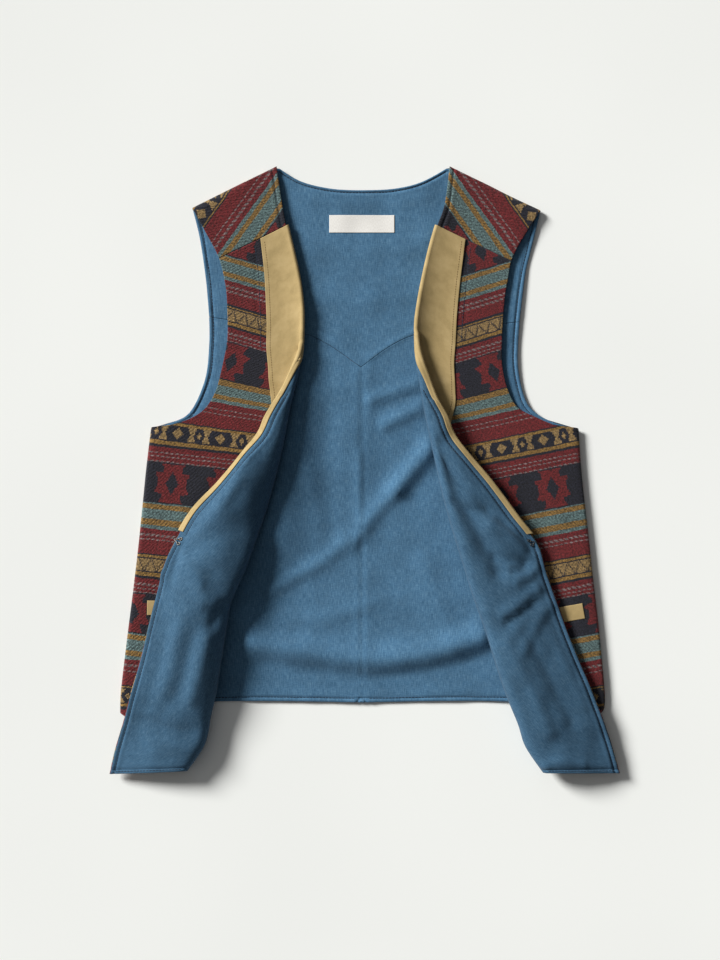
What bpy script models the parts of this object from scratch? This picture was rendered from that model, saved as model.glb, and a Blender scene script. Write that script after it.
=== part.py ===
"""Western vest, laid open on its back with both fronts turned out.

Every panel is a sheet worked out from one seam surface: the surface between the wool and its lining. Wool
lies outside that surface and the lining inside it, so the plies follow each other round every fold.
Lengths are millimetres until the last step. +Y points to the neck, +Z up, and the back rests on z = 0.
"""

import math

import bmesh
import bpy
from mathutils import Vector

MM = 0.001

# Middle of the outline in the plan that the tables below are written in
PLAN_CENTRE = (1.496, 0.77, 0)

# Cloth and leather
WOOL = 1.8
LINING = 1.0
LEATHER = 1.0
PLY_GAP = 0.3
LEATHER_GAP = 0.5
HALF_HOLLOW = 1.2
LABEL_THICKNESS = 0.5

# Offsets from the seam surface, positive to the wool's side
WOOL_IN = PLY_GAP / 2
WOOL_OUT = WOOL_IN + WOOL
LINING_OUT = -PLY_GAP / 2
LINING_IN = LINING_OUT - LINING
LEATHER_ON_WOOL = WOOL_OUT + LEATHER_GAP + LEATHER / 2
LEATHER_ON_LINING = LINING_IN - LEATHER_GAP - LEATHER / 2

# The folds at the sides and shoulders, where the front lies back on the back
FOLD_RADIUS = HALF_HOLLOW - LINING_IN
BACK_CENTRE = FOLD_RADIUS + WOOL_OUT
FRONT_CENTRE = BACK_CENTRE + PLY_GAP
FOLD_ARC = math.pi / 2 * FOLD_RADIUS
BACK_LEVEL = BACK_CENTRE - FOLD_RADIUS
FRONT_LEVEL = FRONT_CENTRE + FOLD_RADIUS

# Outline of the back, seen from above
BACK = {
    "left": {
        "side": [(-291, -290), (-290, -263), (-283, -203), (-274, -131), (-266, -59), (-260, 1), (-254, 51)],
        "armhole_low": [(-254, 51), (-232, 57), (-208, 70), (-190, 109), (-185, 150), (-185, 184)],
        "armhole_high": [(-185, 184), (-189, 229), (-196, 277), (-205, 314)],
        "shoulder": [(-205, 314), (-169, 332), (-135, 349), (-104, 364)],
    },
    "right": {
        "side": [(284, -291), (289, -275), (283, -203), (275, -131), (267, -59), (261, -5), (257, 50)],
        "armhole_low": [(257, 50), (230, 57), (208, 68), (194, 85), (185, 127), (187, 178)],
        "armhole_high": [(187, 178), (194, 235), (201, 265), (209, 298), (212, 311)],
        "shoulder": [(212, 311), (176, 328), (140, 346), (103, 364)],
    },
}
NECKLINE = [(-104, 364), (-76, 347), (-40, 338), (-1, 336), (38, 338), (70, 346), (103, 364)]
HEM = {"left": [(-291, -290), (-176, -277), (-2, -278)], "right": [(-2, -278), (173, -277), (284, -291)]}
YOKE_SEAM = {"left": [(-185, 184), (-70, 164), (-3, 124)], "right": [(-3, 124), (63, 163), (187, 178)]}

# Fronts, hem first. A row crosses the front from its side, to the fold, and back to its free edge.
# lift: height of the roll, or of the edge where nothing is turned out. ridge: how far the roll's highest line
# lies from the fold. rest: height of the free edge.
# turn: degrees that the cloth has turned through at its edge. lapel: width of leather along the row.
FRONT_COLUMNS = ("side", "fold", "edge", "lift", "ridge", "rest", "turn", "lapel")
FRONT_ROWS = {
    "left": [
        ((-291, -290), (-201, -352), (-304, -363), 26, 24, 4, 180, 42),
        ((-291, -281), (-190, -326), (-296, -329), 28, 26, 6, 180, 42),
        ((-290, -263), (-183, -293), (-284, -293), 29, 28, 8, 180, 42),
        ((-287, -233), (-176, -263), (-272, -255), 30, 30, 9, 180, 42),
        ((-283, -203), (-171, -230), (-260, -215), 30, 31, 9, 180, 42),
        ((-279, -170), (-165, -194), (-249, -171), 30, 28, 9, 180, 42),
        ((-274, -131), (-158, -155), (-237, -125), 29, 28, 9, 180, 12),
        ((-269, -93), (-141, -116), (-224, -87), 29, 32, 10, 180, 14),
        ((-266, -59), (-128, -80), (-205, -50), 28.5, 34, 11, 180, 18),
        ((-263, -23), (-116, -45), (-172, -15), 27.5, 30, 12, 180, 24),
        ((-259, 13), (-105, -5), (-147, 15), 25, 23, 12.5, 180, 34),
        ((-256, 37), (-97, 29), (-125, 43), 22, 14, 13, 180, 45),
        ((-254, 51), (-91, 61), (-116, 63), 19, 8.5, 13, 180, 59),
        ((-232, 54), (-86, 85), (-105, 82), 17, 7.75, 13, 180, 57),
        ((-208, 62), (-81, 105), (-94, 101), 15, 6.8, 13.5, 192, 56.5),
        ((-190, 74), (-77, 124), (-84, 123), 13, 3.5, 13, 172, 55),
        ((-177, 95), (-74, 142), (-75.5, 142), 11.5, 0.7, 11.5, 118, 52.5),
        ((-169, 125), (-73, 166), (-73, 166), 9.5, 0, 9.5, 62, 49),
        ((-163, 157), (-73, 190), (-73, 190), 8.5, 0, 8.5, 36, 47),
        ((-163, 190), (-76, 219), (-76, 219), 6.5, 0, 6.5, 26, 44),
        ((-165, 220), (-82, 250), (-82, 250), 4.5, 0, 4.5, 25, 39.5),
        ((-173, 254), (-92, 293), (-92, 293), 3.5, 0, 3.5, 18, 35),
        ((-189, 285), (-97, 319), (-97, 319), 2, 0, 2, 10, 34),
        ((-205, 314), (-104, 364), (-104, 364), 0, 0, 0, 0, 34),
    ],
    "right": [
        ((284, -291), (201, -350), (307, -362), 26, 13, 4, 180, 42),
        ((287, -279), (194, -329), (297, -328), 28, 14, 6, 180, 42),
        ((287, -263), (185, -302), (287, -299), 29, 14.5, 8, 180, 42),
        ((285, -233), (171, -268), (271, -257), 29, 14.5, 9, 180, 42),
        ((283, -203), (159, -233), (253, -215), 28, 14, 9, 180, 42),
        ((280, -170), (146, -191), (236, -170), 27, 13.5, 9, 180, 42),
        ((276, -134), (131, -149), (220, -125), 27, 13, 9, 180, 12),
        ((272, -95), (117, -104), (209, -89), 27, 12.5, 11, 180, 12),
        ((267, -59), (104, -62), (183, -55), 28, 12, 14, 180, 16),
        ((263, -23), (94, -25), (153, -15), 28, 11, 16, 180, 24),
        ((260, 13), (85, 16), (123, 22), 27, 10, 18, 180, 34),
        ((258, 37), (79, 44), (109, 45), 23, 9, 17, 180, 58),
        ((257, 50), (74, 67), (103, 63), 21, 8.5, 16.5, 180, 71),
        ((230, 54), (70, 89), (93, 87), 19, 8, 16, 180, 70.5),
        ((206, 64), (67, 109), (82, 111), 16.8, 7.2, 15.2, 192, 66.5),
        ((184, 76), (64, 128), (72, 132), 13.5, 4.5, 13.5, 172, 64),
        ((172, 99), (63, 151), (64.5, 151.5), 11.5, 0.7, 11.5, 116, 58.5),
        ((166, 127), (63, 177), (63, 177), 10, 0, 10, 40, 54.5),
        ((166, 163), (67, 205), (67, 205), 8, 0, 8, 30, 50),
        ((169, 205), (73, 235), (73, 235), 6, 0, 6, 24, 45),
        ((173, 229), (80, 265), (80, 265), 4.5, 0, 4.5, 25, 42),
        ((177, 251), (88, 293), (88, 293), 3.5, 0, 3.5, 18, 38),
        ((190, 277), (97, 319), (97, 319), 2, 0, 2, 10, 38),
        ((212, 311), (103, 364), (103, 364), 0, 0, 0, 0, 38),
    ],
}
YOKE_ROW = 21
LAPEL_END_ROW = 7.4
SEAM_ROWS = 0.006
LAPEL_WRAP = 6

# How the cloth rolls over, in mm and in shares of the length that each curve spans
ROLL_RUN = 18
NECK_RUN = 40
ROLL_EASE = 0.6
NEAR_RIDGE = 15
FAR_RIDGE = 42
FAR_RIDGE_EASE = (0.26, 0.75)
LEAN = 0.4
CREST_EASE = 0.5
FALL_EASE = 0.4
SMALL_TURN_EASE = (1.4, 0.45)
FULL_FLAP = 22
LEAST_TURN = 18
LEAST_FLAP = 0.5
SMALL_FLAP_STOPS = (0.35, 0.65)

# Where the corners fall along the borders of the back, as shares of each border
TOP_CORNERS = (0.25, 0.75)
ARMHOLE_FOOT = 0.55
LINING_ARMHOLE_FOOT = 0.72
BACK_WIDTH = 580
BACK_LENGTH = 600
BACK_YOKE_LENGTH = 150
SHOULDER_OUTWARD = (0.44, 0.9)
FOLD_LINE_EXTRA = 30

# How finely the sheets are divided
TURNING_STEPS = (13.5, 14, 14.4, 14.8, 15.2, 15.6, 16, 16.25, 16.5, 16.75, 17, 17.5)
CORNER_STEPS = (12.12, 12.3, 12.6)
FLAP_STEPS = (*range(8), LAPEL_END_ROW, *range(8, 13), *CORNER_STEPS)
SHELL_STEPS = (*FLAP_STEPS, 13, *TURNING_STEPS, 18, 19, 20, YOKE_ROW - SEAM_ROWS)
YOKE_STEPS = (YOKE_ROW + SEAM_ROWS, 21.5, 22, 22.5, 22.905, 22.95, 23)
LIP_CELLS = 3
HEM_CELLS = 3
FRONT_CELLS = (LIP_CELLS, 3, 3, 3, 3, HEM_CELLS)
LAPEL_CELLS = 7
CREST_POINTS = 6
BACK_CELLS_ACROSS = 16
BACK_CELLS_ALONG = 14
LINING_CELLS_ALONG = 8
YOKE_CELLS_ALONG = 5

# Leather welt of each pocket: lower corner at the side, length, height, slope in degrees
WELTS = {"left": ((-259, -173), 74, 17.5, -1), "right": ((265, -177), 74, 18.5, 190)}
LABEL_CENTRE = (-2, 295.5)
LABEL_SIZE = (78, 21)

# Hook and eye: half the wire, the sewing rings, and the bill or loop as (share of its reach, offset along
# the edge)
CLASP_ROW = 7.15
CLASP_INSET = 8
CLASP_WIRE = 0.6
CLASP_RING = 1.6
RING_OFFSET = 3
RING_TURNS = [math.radians(40 + 35 * i) for i in range(9)]
CLASP_REACH = {"left": 7, "right": 4.8}
CLASP_LOOP = ((0.5, -1.3), (1, -0.9), (1.15, 0), (1, 0.9), (0.5, 1.3))


def metres(point):
    """From the tables' plan to the vest's own frame."""
    return (Vector(point) - Vector(PLAN_CENTRE)) * MM


def catmull(values, k):
    """The smooth curve through a list of equal-length tuples, at position k counted in entries."""
    last = len(values) - 1
    i = min(int(k), last - 1)
    t = k - i
    a, b, c, d = (values[min(max(j, 0), last)] for j in (i - 1, i, i + 1, i + 2))
    return tuple(
        0.5 * (2 * q + (r - p) * t + (2 * p - 5 * q + 4 * r - s) * t**2 + (3 * q - p - 3 * r + s) * t**3)
        for p, q, r, s in zip(a, b, c, d)
    )


class Run:
    """A line of dense points that is read by its length."""

    def __init__(self, points):
        self.points = [Vector(p) for p in points]
        self.marks = [0.0]
        for a, b in zip(self.points, self.points[1:]):
            self.marks.append(self.marks[-1] + (b - a).length)
        self.length = self.marks[-1]

    def cell(self, s):
        i = 0
        while i < len(self.marks) - 2 and self.marks[i + 1] < s:
            i += 1
        return i

    def at(self, s):
        i = self.cell(s)
        span = self.marks[i + 1] - self.marks[i]
        return self.points[i].lerp(self.points[i + 1], (s - self.marks[i]) / span if span else 0)

    def tangent(self, s):
        i = self.cell(s)
        return (self.points[i + 1] - self.points[i]).normalized()


def smooth_run(points, steps=8):
    count = (len(points) - 1) * steps
    return Run([catmull(points, i / steps) for i in range(count + 1)])


def chain(*pieces):
    """Joins lines end to end as a function of 0 to 1. Each piece is (points, the value where it ends)."""
    runs = [(smooth_run(points), end) for points, end in pieces]

    def point(w):
        start = 0.0
        for run, end in runs:
            if w <= end or end == runs[-1][1]:
                return run.at((w - start) / (end - start) * run.length)
            start = end

    return point


def bent_lines():
    """The lines that the cloth folds over: both sides and both shoulders, with the way out of the vest."""
    lines = []
    for side, sign in (("left", -1), ("right", 1)):
        shoulder_out = Vector((sign * SHOULDER_OUTWARD[0], SHOULDER_OUTWARD[1]))
        for name, outward in (("side", Vector((sign, 0))), ("shoulder", shoulder_out)):
            run = smooth_run(BACK[side][name], 4)
            first = run.points[0] + (run.points[0] - run.points[1]).normalized() * FOLD_LINE_EXTRA
            last = run.points[-1] + (run.points[-1] - run.points[-2]).normalized() * FOLD_LINE_EXTRA
            lines.append(([first, *run.points, last], outward))
    return lines


FOLDS = bent_lines()


def fold_over(point, front):
    """From the flat pattern to the seam surface, which turns down (front) or up (back) at a fold."""
    flat = Vector(point[:2])
    centre, level, up = (FRONT_CENTRE, FRONT_LEVEL, 1) if front else (BACK_CENTRE, BACK_LEVEL, -1)
    nearest = None
    for points, outward in FOLDS:
        for a, b in zip(points, points[1:]):
            along = b - a
            t = min(max((flat - a).dot(along) / along.length_squared, 0), 1)
            foot = a + along * t
            gap = (flat - foot).length
            if nearest is None or gap < nearest[0]:
                out = Vector((-along.y, along.x)).normalized()
                nearest = (gap, foot, out if out.dot(outward) > 0 else -out)
    _, foot, out = nearest
    inward = (foot - flat).dot(out) if nearest[0] < FOLD_ARC + 1 else math.inf
    if inward >= FOLD_ARC:
        return Vector((flat.x, flat.y, level)), Vector((0, 0, up))
    angle = min((FOLD_ARC - inward) / FOLD_RADIUS, math.pi / 2)
    base = foot - out * FOLD_ARC
    place = base + out * FOLD_RADIUS * math.sin(angle)
    height = centre + up * FOLD_RADIUS * math.cos(angle)
    normal = Vector((out.x * math.sin(angle), out.y * math.sin(angle), up * math.cos(angle)))
    return Vector((place.x, place.y, height)), normal


def coons(bottom, top, left, right, across, along):
    """A flat grid between four border curves: rows from bottom to top, columns from left to right."""
    grid = []
    for v in along:
        row = []
        for u in across:
            across_borders = left(v) * (1 - u) + right(v) * u
            low, high = bottom(0).lerp(bottom(1), u), top(0).lerp(top(1), u)
            row.append(bottom(u).lerp(top(u), v) + across_borders - low.lerp(high, v))
        grid.append(row)
    return grid


def steps(cells, rim_low=0.0, rim_high=0.0):
    """Even fractions from 0 to 1, with the bent rims divided finely at either end."""
    values = [i / cells for i in range(cells + 1)]
    if rim_low:
        values[1:1] = [rim_low * (i + 1) / LIP_CELLS for i in range(LIP_CELLS)]
    if rim_high:
        values[-1:-1] = [1 - rim_high * (LIP_CELLS - i) / LIP_CELLS for i in range(LIP_CELLS)]
    return values


def back_surface(flat_grid):
    return [[fold_over(p, front=False) for p in row] for row in flat_grid]


def bezier(a, b, c, d, count):
    out = []
    for i in range(1, count + 1):
        t = i / count
        out.append(a * (1 - t) ** 3 + b * 3 * t * (1 - t) ** 2 + c * 3 * t**2 * (1 - t) + d * t**3)
    return out


def front_row(side, k):
    """A row of the front table at position k, with its columns by name."""
    table = [(*r[0], *r[1], *r[2], *r[3:]) for r in FRONT_ROWS[side]]
    v = catmull(table, k)
    return dict(zip(FRONT_COLUMNS, (Vector(v[0:2]), Vector(v[2:4]), Vector(v[4:6]), *v[6:])))


def front_section(row):
    """The line that the seam surface follows along one row, over the roll and back to the free edge."""
    side, fold, edge = row["side"], row["fold"], row["edge"]
    along = (fold - side).normalized()
    turned_out = (edge - fold).length
    reach = (fold - side).length
    back = (edge - fold) / turned_out if turned_out > LEAST_FLAP else -along
    lift = row["lift"]
    far = min(max(row["ridge"] - NEAR_RIDGE, 0) / (FAR_RIDGE - NEAR_RIDGE), 1)
    crest = lift * (1 - (CREST_EASE + FAR_RIDGE_EASE[0] * far) * min(turned_out, 1))
    ramp = min(NECK_RUN + (ROLL_RUN - NECK_RUN) * min(turned_out / LEAST_TURN, 1), reach / 2.4)
    turn = math.radians(row["turn"])
    slope = min(turn, math.pi / 2)
    lean = Vector((math.cos(slope), math.sin(slope))) * (LEAN * crest + PLY_GAP)
    start, at_fold = Vector((reach - ramp, 0)), Vector((reach, crest))
    rise = bezier(start, start + Vector((ramp * ROLL_EASE, 0)), at_fold - lean, at_fold, 8)
    points = [(*(side + along * p.x), FRONT_LEVEL + p.y) for p in (Vector((0, 0)), start, *rise)]
    features = [1, len(points) - 1, len(points) - 1]
    foot, end = Vector((0, crest)), Vector((turned_out, row["rest"]))
    over = []
    if turned_out > LEAST_TURN:
        top = Vector((row["ridge"], lift))
        level = Vector((1, 0))
        swing = (top - foot).length * CREST_EASE
        fall = (end - top) * FALL_EASE
        upward = Vector((0, swing * (1 - FAR_RIDGE_EASE[1] * far)))
        over = bezier(foot, foot + upward, top - level * swing, top, CREST_POINTS)
        over += bezier(top, top + level * fall.length, end - fall, end, 10)
    elif turned_out > LEAST_FLAP:
        climb, reach_in = SMALL_TURN_EASE
        lead = Vector((-math.cos(turn), math.sin(turn))) * (end - foot).length * reach_in
        over = bezier(foot, foot + Vector((0, climb * (lift - crest))), end - lead, end, CREST_POINTS + 10)
    if over:
        points += [(*(fold + back * p.x), FRONT_LEVEL + p.y) for p in over]
        features[2] += CREST_POINTS
    run = Run(points)
    return run, [run.marks[i] for i in features], min(turned_out / FULL_FLAP, 1)


def front_marks(run, features, flap):
    """Lengths along a section where its columns lie: lip, flat, rise, fold to crest, flap, and hem."""
    start, fold, top = features
    end = run.length
    low, high = SMALL_FLAP_STOPS
    fold = fold * flap + (start + (end - start) * low) * (1 - flap)
    top = top * flap + (start + (end - start) * high) * (1 - flap)
    stops = (0, FOLD_ARC, start, fold, top, end - LAPEL_WRAP, end)
    marks = [a + (b - a) * i / n for a, b, n in zip(stops, stops[1:], FRONT_CELLS) for i in range(n)]
    return [*marks, end]


def front_surface(side, rows):
    """Grid of (point, normal, direction across) on the seam surface of one front."""
    lines = []
    for k in rows:
        row = front_row(side, k)
        run, features, flap = front_section(row)
        marks = front_marks(run, features, flap)
        lines.append([(run.at(s), run.tangent(s), s < features[0]) for s in marks])
    grid = []
    for i, line in enumerate(lines):
        before, after = lines[max(i - 1, 0)], lines[min(i + 1, len(lines) - 1)]
        cells = []
        for j, (point, tangent, flat) in enumerate(line):
            if flat:
                place, normal = fold_over(point, front=True)
            else:
                up_the_front = after[j][0] - before[j][0]
                normal = tangent.cross(up_the_front).normalized() * (1 if side == "left" else -1)
                place = point
            cells.append((place, normal, tangent))
        grid.append(cells)
    return grid


def strip(grid, inner, outer):
    """Moves a grid's points along their normals to the two faces of one ply."""
    return [[(cell[0] + cell[1] * inner, cell[0] + cell[1] * outer) for cell in row] for row in grid]


def material(name, colour, roughness, metallic=0.0):
    made = bpy.data.materials.new(name)
    made.use_nodes = True
    shader = made.node_tree.nodes["Principled BSDF"]
    shader.inputs["Base Color"].default_value = (*colour, 1)
    shader.inputs["Roughness"].default_value = roughness
    shader.inputs["Metallic"].default_value = metallic
    return made


def keep(name, mesh_or_bmesh, look):
    """Puts a finished mesh into the vest's collection under its own name."""
    mesh = mesh_or_bmesh
    if isinstance(mesh, bmesh.types.BMesh):
        mesh = bpy.data.meshes.new(name)
        bmesh.ops.recalc_face_normals(mesh_or_bmesh, faces=mesh_or_bmesh.faces)
        mesh_or_bmesh.to_mesh(mesh)
        mesh_or_bmesh.free()
    mesh.materials.append(look)
    made = bpy.data.objects.new(name, mesh)
    VEST.objects.link(made)
    return made


def ply(name, pairs, look, doubled_back=math.inf):
    """Closes a grid of (inner, outer) points into one sheet. Every cell is cut on the same diagonal of the
    seam surface, so that plies stay parallel. Columns from doubled_back on run back along that surface."""
    bm = bmesh.new()
    rows, columns = len(pairs), len(pairs[0])
    sides = [[[bm.verts.new(metres(pair[face])) for pair in row] for row in pairs] for face in (0, 1)]
    for grid in sides:
        for i in range(rows - 1):
            for j in range(columns - 1):
                ring = [grid[i][j], grid[i][j + 1], grid[i + 1][j + 1], grid[i + 1][j]]
                if j >= doubled_back:
                    ring = [*ring[1:], ring[0]]
                bm.faces.new(ring[:3])
                bm.faces.new((ring[0], ring[2], ring[3]))
    rim = [(0, j) for j in range(columns)] + [(i, columns - 1) for i in range(1, rows)]
    rim += [(rows - 1, j) for j in range(columns - 2, -1, -1)] + [(i, 0) for i in range(rows - 2, 0, -1)]
    for (i, j), (m, n) in zip(rim, [*rim[1:], rim[0]]):
        bm.faces.new((sides[0][i][j], sides[0][m][n], sides[1][m][n], sides[1][i][j]))
    return keep(name, bm, look)


def top_border():
    """Up one shoulder, along the back of the neck and down the other shoulder."""
    first, second = TOP_CORNERS
    return chain((BACK["left"]["shoulder"], first), (NECKLINE, second), (BACK["right"]["shoulder"][::-1], 1))


def make_back_shell(look):
    """The whole back in wool, with its lips turned up at the sides and shoulders."""
    left, right = BACK["left"], BACK["right"]
    armholes = {side: BACK[side]["armhole_low"] + BACK[side]["armhole_high"][1:] for side in BACK}
    flat = coons(
        chain((HEM["left"], 0.5), (HEM["right"], 1)),
        top_border(),
        chain((left["side"], ARMHOLE_FOOT), (armholes["left"], 1)),
        chain((right["side"], ARMHOLE_FOOT), (armholes["right"], 1)),
        steps(BACK_CELLS_ACROSS, FOLD_ARC / BACK_WIDTH, FOLD_ARC / BACK_WIDTH),
        steps(BACK_CELLS_ALONG, 0, FOLD_ARC / BACK_LENGTH),
    )
    ply("back_shell", strip(back_surface(flat), WOOL_IN, WOOL_OUT), look)


def make_back_linings(look):
    """Denim inside the back: a yoke with a western point, and two lower halves that meet at a centre seam."""
    half_gap = Vector((0, PLY_GAP / 2))
    left, right = BACK["left"], BACK["right"]
    seam = chain((YOKE_SEAM["left"], 0.5), (YOKE_SEAM["right"], 1))
    yoke = coons(
        lambda u: seam(u) + half_gap,
        top_border(),
        lambda v: chain((left["armhole_high"], 1))(v) + half_gap * (1 - v),
        lambda v: chain((right["armhole_high"], 1))(v) + half_gap * (1 - v),
        steps(BACK_CELLS_ACROSS),
        steps(YOKE_CELLS_ALONG, 0, FOLD_ARC / BACK_YOKE_LENGTH),
    )
    ply("back_lining_yoke", strip(back_surface(yoke), LINING_OUT, LINING_IN), look)
    for side, sign in (("left", -1), ("right", 1)):
        shift = Vector((sign * PLY_GAP / 2, -PLY_GAP / 2))
        hem, top = HEM[side], YOKE_SEAM[side]
        centre = [hem[-1] if side == "left" else hem[0], top[-1] if side == "left" else top[0]]
        outer = chain((BACK[side]["side"], LINING_ARMHOLE_FOOT), (BACK[side]["armhole_low"], 1))
        inner = chain((centre, 1))
        hem_run, top_run = chain((hem, 1)), chain((top, 1))
        rim = FOLD_ARC / (BACK_WIDTH / 2)
        flat = coons(
            lambda u, f=hem_run, s=shift: f(u) + Vector((s.x, 0)),
            lambda u, f=top_run, s=shift: f(u) + s,
            lambda v, f=(outer if side == "left" else inner), s=shift: f(v) + Vector((s.x, s.y * v)),
            lambda v, f=(inner if side == "left" else outer), s=shift: f(v) + Vector((s.x, s.y * v)),
            steps(BACK_CELLS_ACROSS // 2, rim if side == "left" else 0, rim if side == "right" else 0),
            steps(LINING_CELLS_ALONG),
        )
        ply(f"back_lining_{side}", strip(back_surface(flat), LINING_OUT, LINING_IN), look)


def make_front(side, looks):
    """One front: wool below the yoke, the yoke itself, one lining behind both, and leather along the edge."""
    surface = front_surface(side, SHELL_STEPS + YOKE_STEPS)
    count = len(SHELL_STEPS)
    lapel = [k for k in SHELL_STEPS if k >= LAPEL_END_ROW]
    widths = [front_row(side, k)["lapel"] for k in lapel]
    make_lapel(side, surface[count - len(lapel) : count], widths, looks["leather"])
    ply(f"front_shell_{side}", strip(surface[:count], WOOL_IN, WOOL_OUT), looks["wool"])
    ply(f"front_yoke_{side}", strip(surface[count:], WOOL_IN, WOOL_OUT), looks["wool"])
    whole = surface[:count] + surface[count + 1 :]
    ply(f"front_lining_{side}", strip(whole, LINING_OUT, LINING_IN), looks["denim"])


def on_cells(cells, length, offset):
    """A point at a length back from the free edge along one row, moved out from the seam surface."""
    for (end, end_normal, _), (start, start_normal, _) in zip(cells[::-1], cells[-2::-1]):
        span = (end - start).length
        if length <= span:
            break
        length -= span
    normal = end_normal.lerp(start_normal, length / span)
    return end.lerp(start, length / span) + normal * offset, normal


def make_lapel(side, surface, widths, look):
    """Leather along the neck edge, which wraps round that edge on to the lining."""
    middle = (LEATHER_ON_WOOL + LEATHER_ON_LINING) / 2
    radius = (LEATHER_ON_WOOL - LEATHER_ON_LINING) / 2
    grid = []
    for cells, width in zip(surface, widths):
        along = [width + (LAPEL_WRAP - width) * i / LAPEL_CELLS for i in range(LAPEL_CELLS)]
        on_wool = [on_cells(cells, length, LEATHER_ON_WOOL) for length in along]
        for place, normal, _ in cells[-1 - HEM_CELLS :]:
            on_wool.append((place + normal * LEATHER_ON_WOOL, normal))
        point, normal, out = cells[-1]
        round_edge = []
        for degrees in (45, 90, 135, 180):
            angle = math.radians(degrees)
            ray = out * math.sin(angle) + normal * math.cos(angle)
            round_edge.append((point + normal * middle + ray * radius, ray))
        hem = cells[-2 : -2 - HEM_CELLS : -1]
        tail = [(place + normal * LEATHER_ON_LINING, -normal) for place, normal, _ in hem]
        grid.append([*on_wool, *round_edge, *tail])
    ply(f"leather_lapel_{side}", strip(grid, -LEATHER / 2, LEATHER / 2), look, len(grid[0]) - 1 - HEM_CELLS)


def slab(name, corners, low, thickness, look):
    """A flat piece with the given corners, lying at one height."""
    bm = bmesh.new()
    base = bm.faces.new([bm.verts.new(metres((*c, low))) for c in corners])
    raised = bmesh.ops.extrude_face_region(bm, geom=[base])
    top = [v for v in raised["geom"] if isinstance(v, bmesh.types.BMVert)]
    bmesh.ops.translate(bm, verts=top, vec=Vector((0, 0, thickness * MM)))
    return keep(name, bm, look)


def make_welt(side, look):
    corner, length, height, slope = WELTS[side]
    along = Vector((math.cos(math.radians(slope)), math.sin(math.radians(slope))))
    up = Vector((-along.y, along.x)) * (1 if along.x > 0 else -1)
    start = Vector(corner)
    corners = [start, start + along * length, start + along * length + up * height, start + up * height]
    slab(f"pocket_welt_{side}", corners, FRONT_LEVEL + WOOL_OUT + PLY_GAP, LEATHER, look)


def make_label(look):
    (x, y), (w, h) = LABEL_CENTRE, LABEL_SIZE
    corners = [(x + sx * w / 2, y + sy * h / 2) for sx, sy in ((-1, -1), (1, -1), (1, 1), (-1, 1))]
    slab("label", corners, BACK_LEVEL - LINING_IN + PLY_GAP, LABEL_THICKNESS, look)


def wire(name, points, look):
    """A bent wire with closed ends, as one tube."""
    curve = bpy.data.curves.new(name, "CURVE")
    curve.dimensions = "3D"
    curve.bevel_depth = CLASP_WIRE * MM
    curve.bevel_resolution = 1
    curve.use_fill_caps = True
    spline = curve.splines.new("POLY")
    spline.points.add(len(points) - 1)
    for target, point in zip(spline.points, points):
        target.co = (*metres(point), 1)
    scratch = bpy.data.objects.new("scratch", curve)
    bpy.context.scene.collection.objects.link(scratch)
    mesh = bpy.data.meshes.new_from_object(scratch.evaluated_get(bpy.context.evaluated_depsgraph_get()))
    bpy.data.objects.remove(scratch)
    bm = bmesh.new()
    bm.from_mesh(mesh)
    bpy.data.meshes.remove(mesh)
    bmesh.ops.remove_doubles(bm, verts=bm.verts, dist=0.00001)
    return keep(name, bm, look)


def clasp_frame(side):
    """Where the clasp is sewn: a point on the front's edge, the way out, the way up the edge, and off."""
    rows = (CLASP_ROW - 0.2, CLASP_ROW, CLASP_ROW + 0.2)
    below, (point, normal, out), above = (cells[-1] for cells in front_surface(side, rows))
    return point, out, (above[0] - below[0]).normalized(), -normal


def clasp_ring(middle, out, up):
    """One sewing ring, open where the wire runs on into the bill or loop."""
    return [middle + (out * math.cos(turn) + up * math.sin(turn)) * CLASP_RING for turn in RING_TURNS]


def make_clasp(name, side, look):
    """Two sewing rings side by side along the edge, and between them a hook's bill or an eye's loop."""
    edge, out, up, off = clasp_frame(side)
    centre = edge - out * CLASP_INSET + off * (CLASP_WIRE + 2 * PLY_GAP - LINING_IN)
    loop = [centre + out * (share * CLASP_REACH[side]) + up * offset for share, offset in CLASP_LOOP]
    low_ring = clasp_ring(centre - up * RING_OFFSET, out, -up)
    high_ring = clasp_ring(centre + up * RING_OFFSET, out, up)
    wire(name, [*low_ring[::-1], *loop, *high_ring], look)


for item in list(bpy.data.objects):
    bpy.data.objects.remove(item)
VEST = bpy.data.collections.new("western_vest")
bpy.context.scene.collection.children.link(VEST)

wool = material("wool", (0.12, 0.05, 0.05), 0.95)
denim = material("denim", (0.06, 0.16, 0.30), 0.9)
leather = material("leather", (0.56, 0.42, 0.18), 0.6)
cloth_label = material("label", (0.82, 0.80, 0.76), 0.8)
black_metal = material("hardware", (0.02, 0.02, 0.025), 0.35, 1.0)

make_back_shell(wool)
make_back_linings(denim)
for wing, clasp in (("left", "hook"), ("right", "eye")):
    make_front(wing, {"wool": wool, "denim": denim, "leather": leather})
    make_welt(wing, leather)
    make_clasp(clasp, wing, black_metal)
make_label(cloth_label)
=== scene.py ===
"""Looks of the western vest: fine cloth, leather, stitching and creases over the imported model.

Lengths are millimetres in the plan of the vest until metres() takes them into the model's frame. The fronts
and the back follow one seam surface between wool and lining, as the solids do, only more finely.
"""

import math

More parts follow.
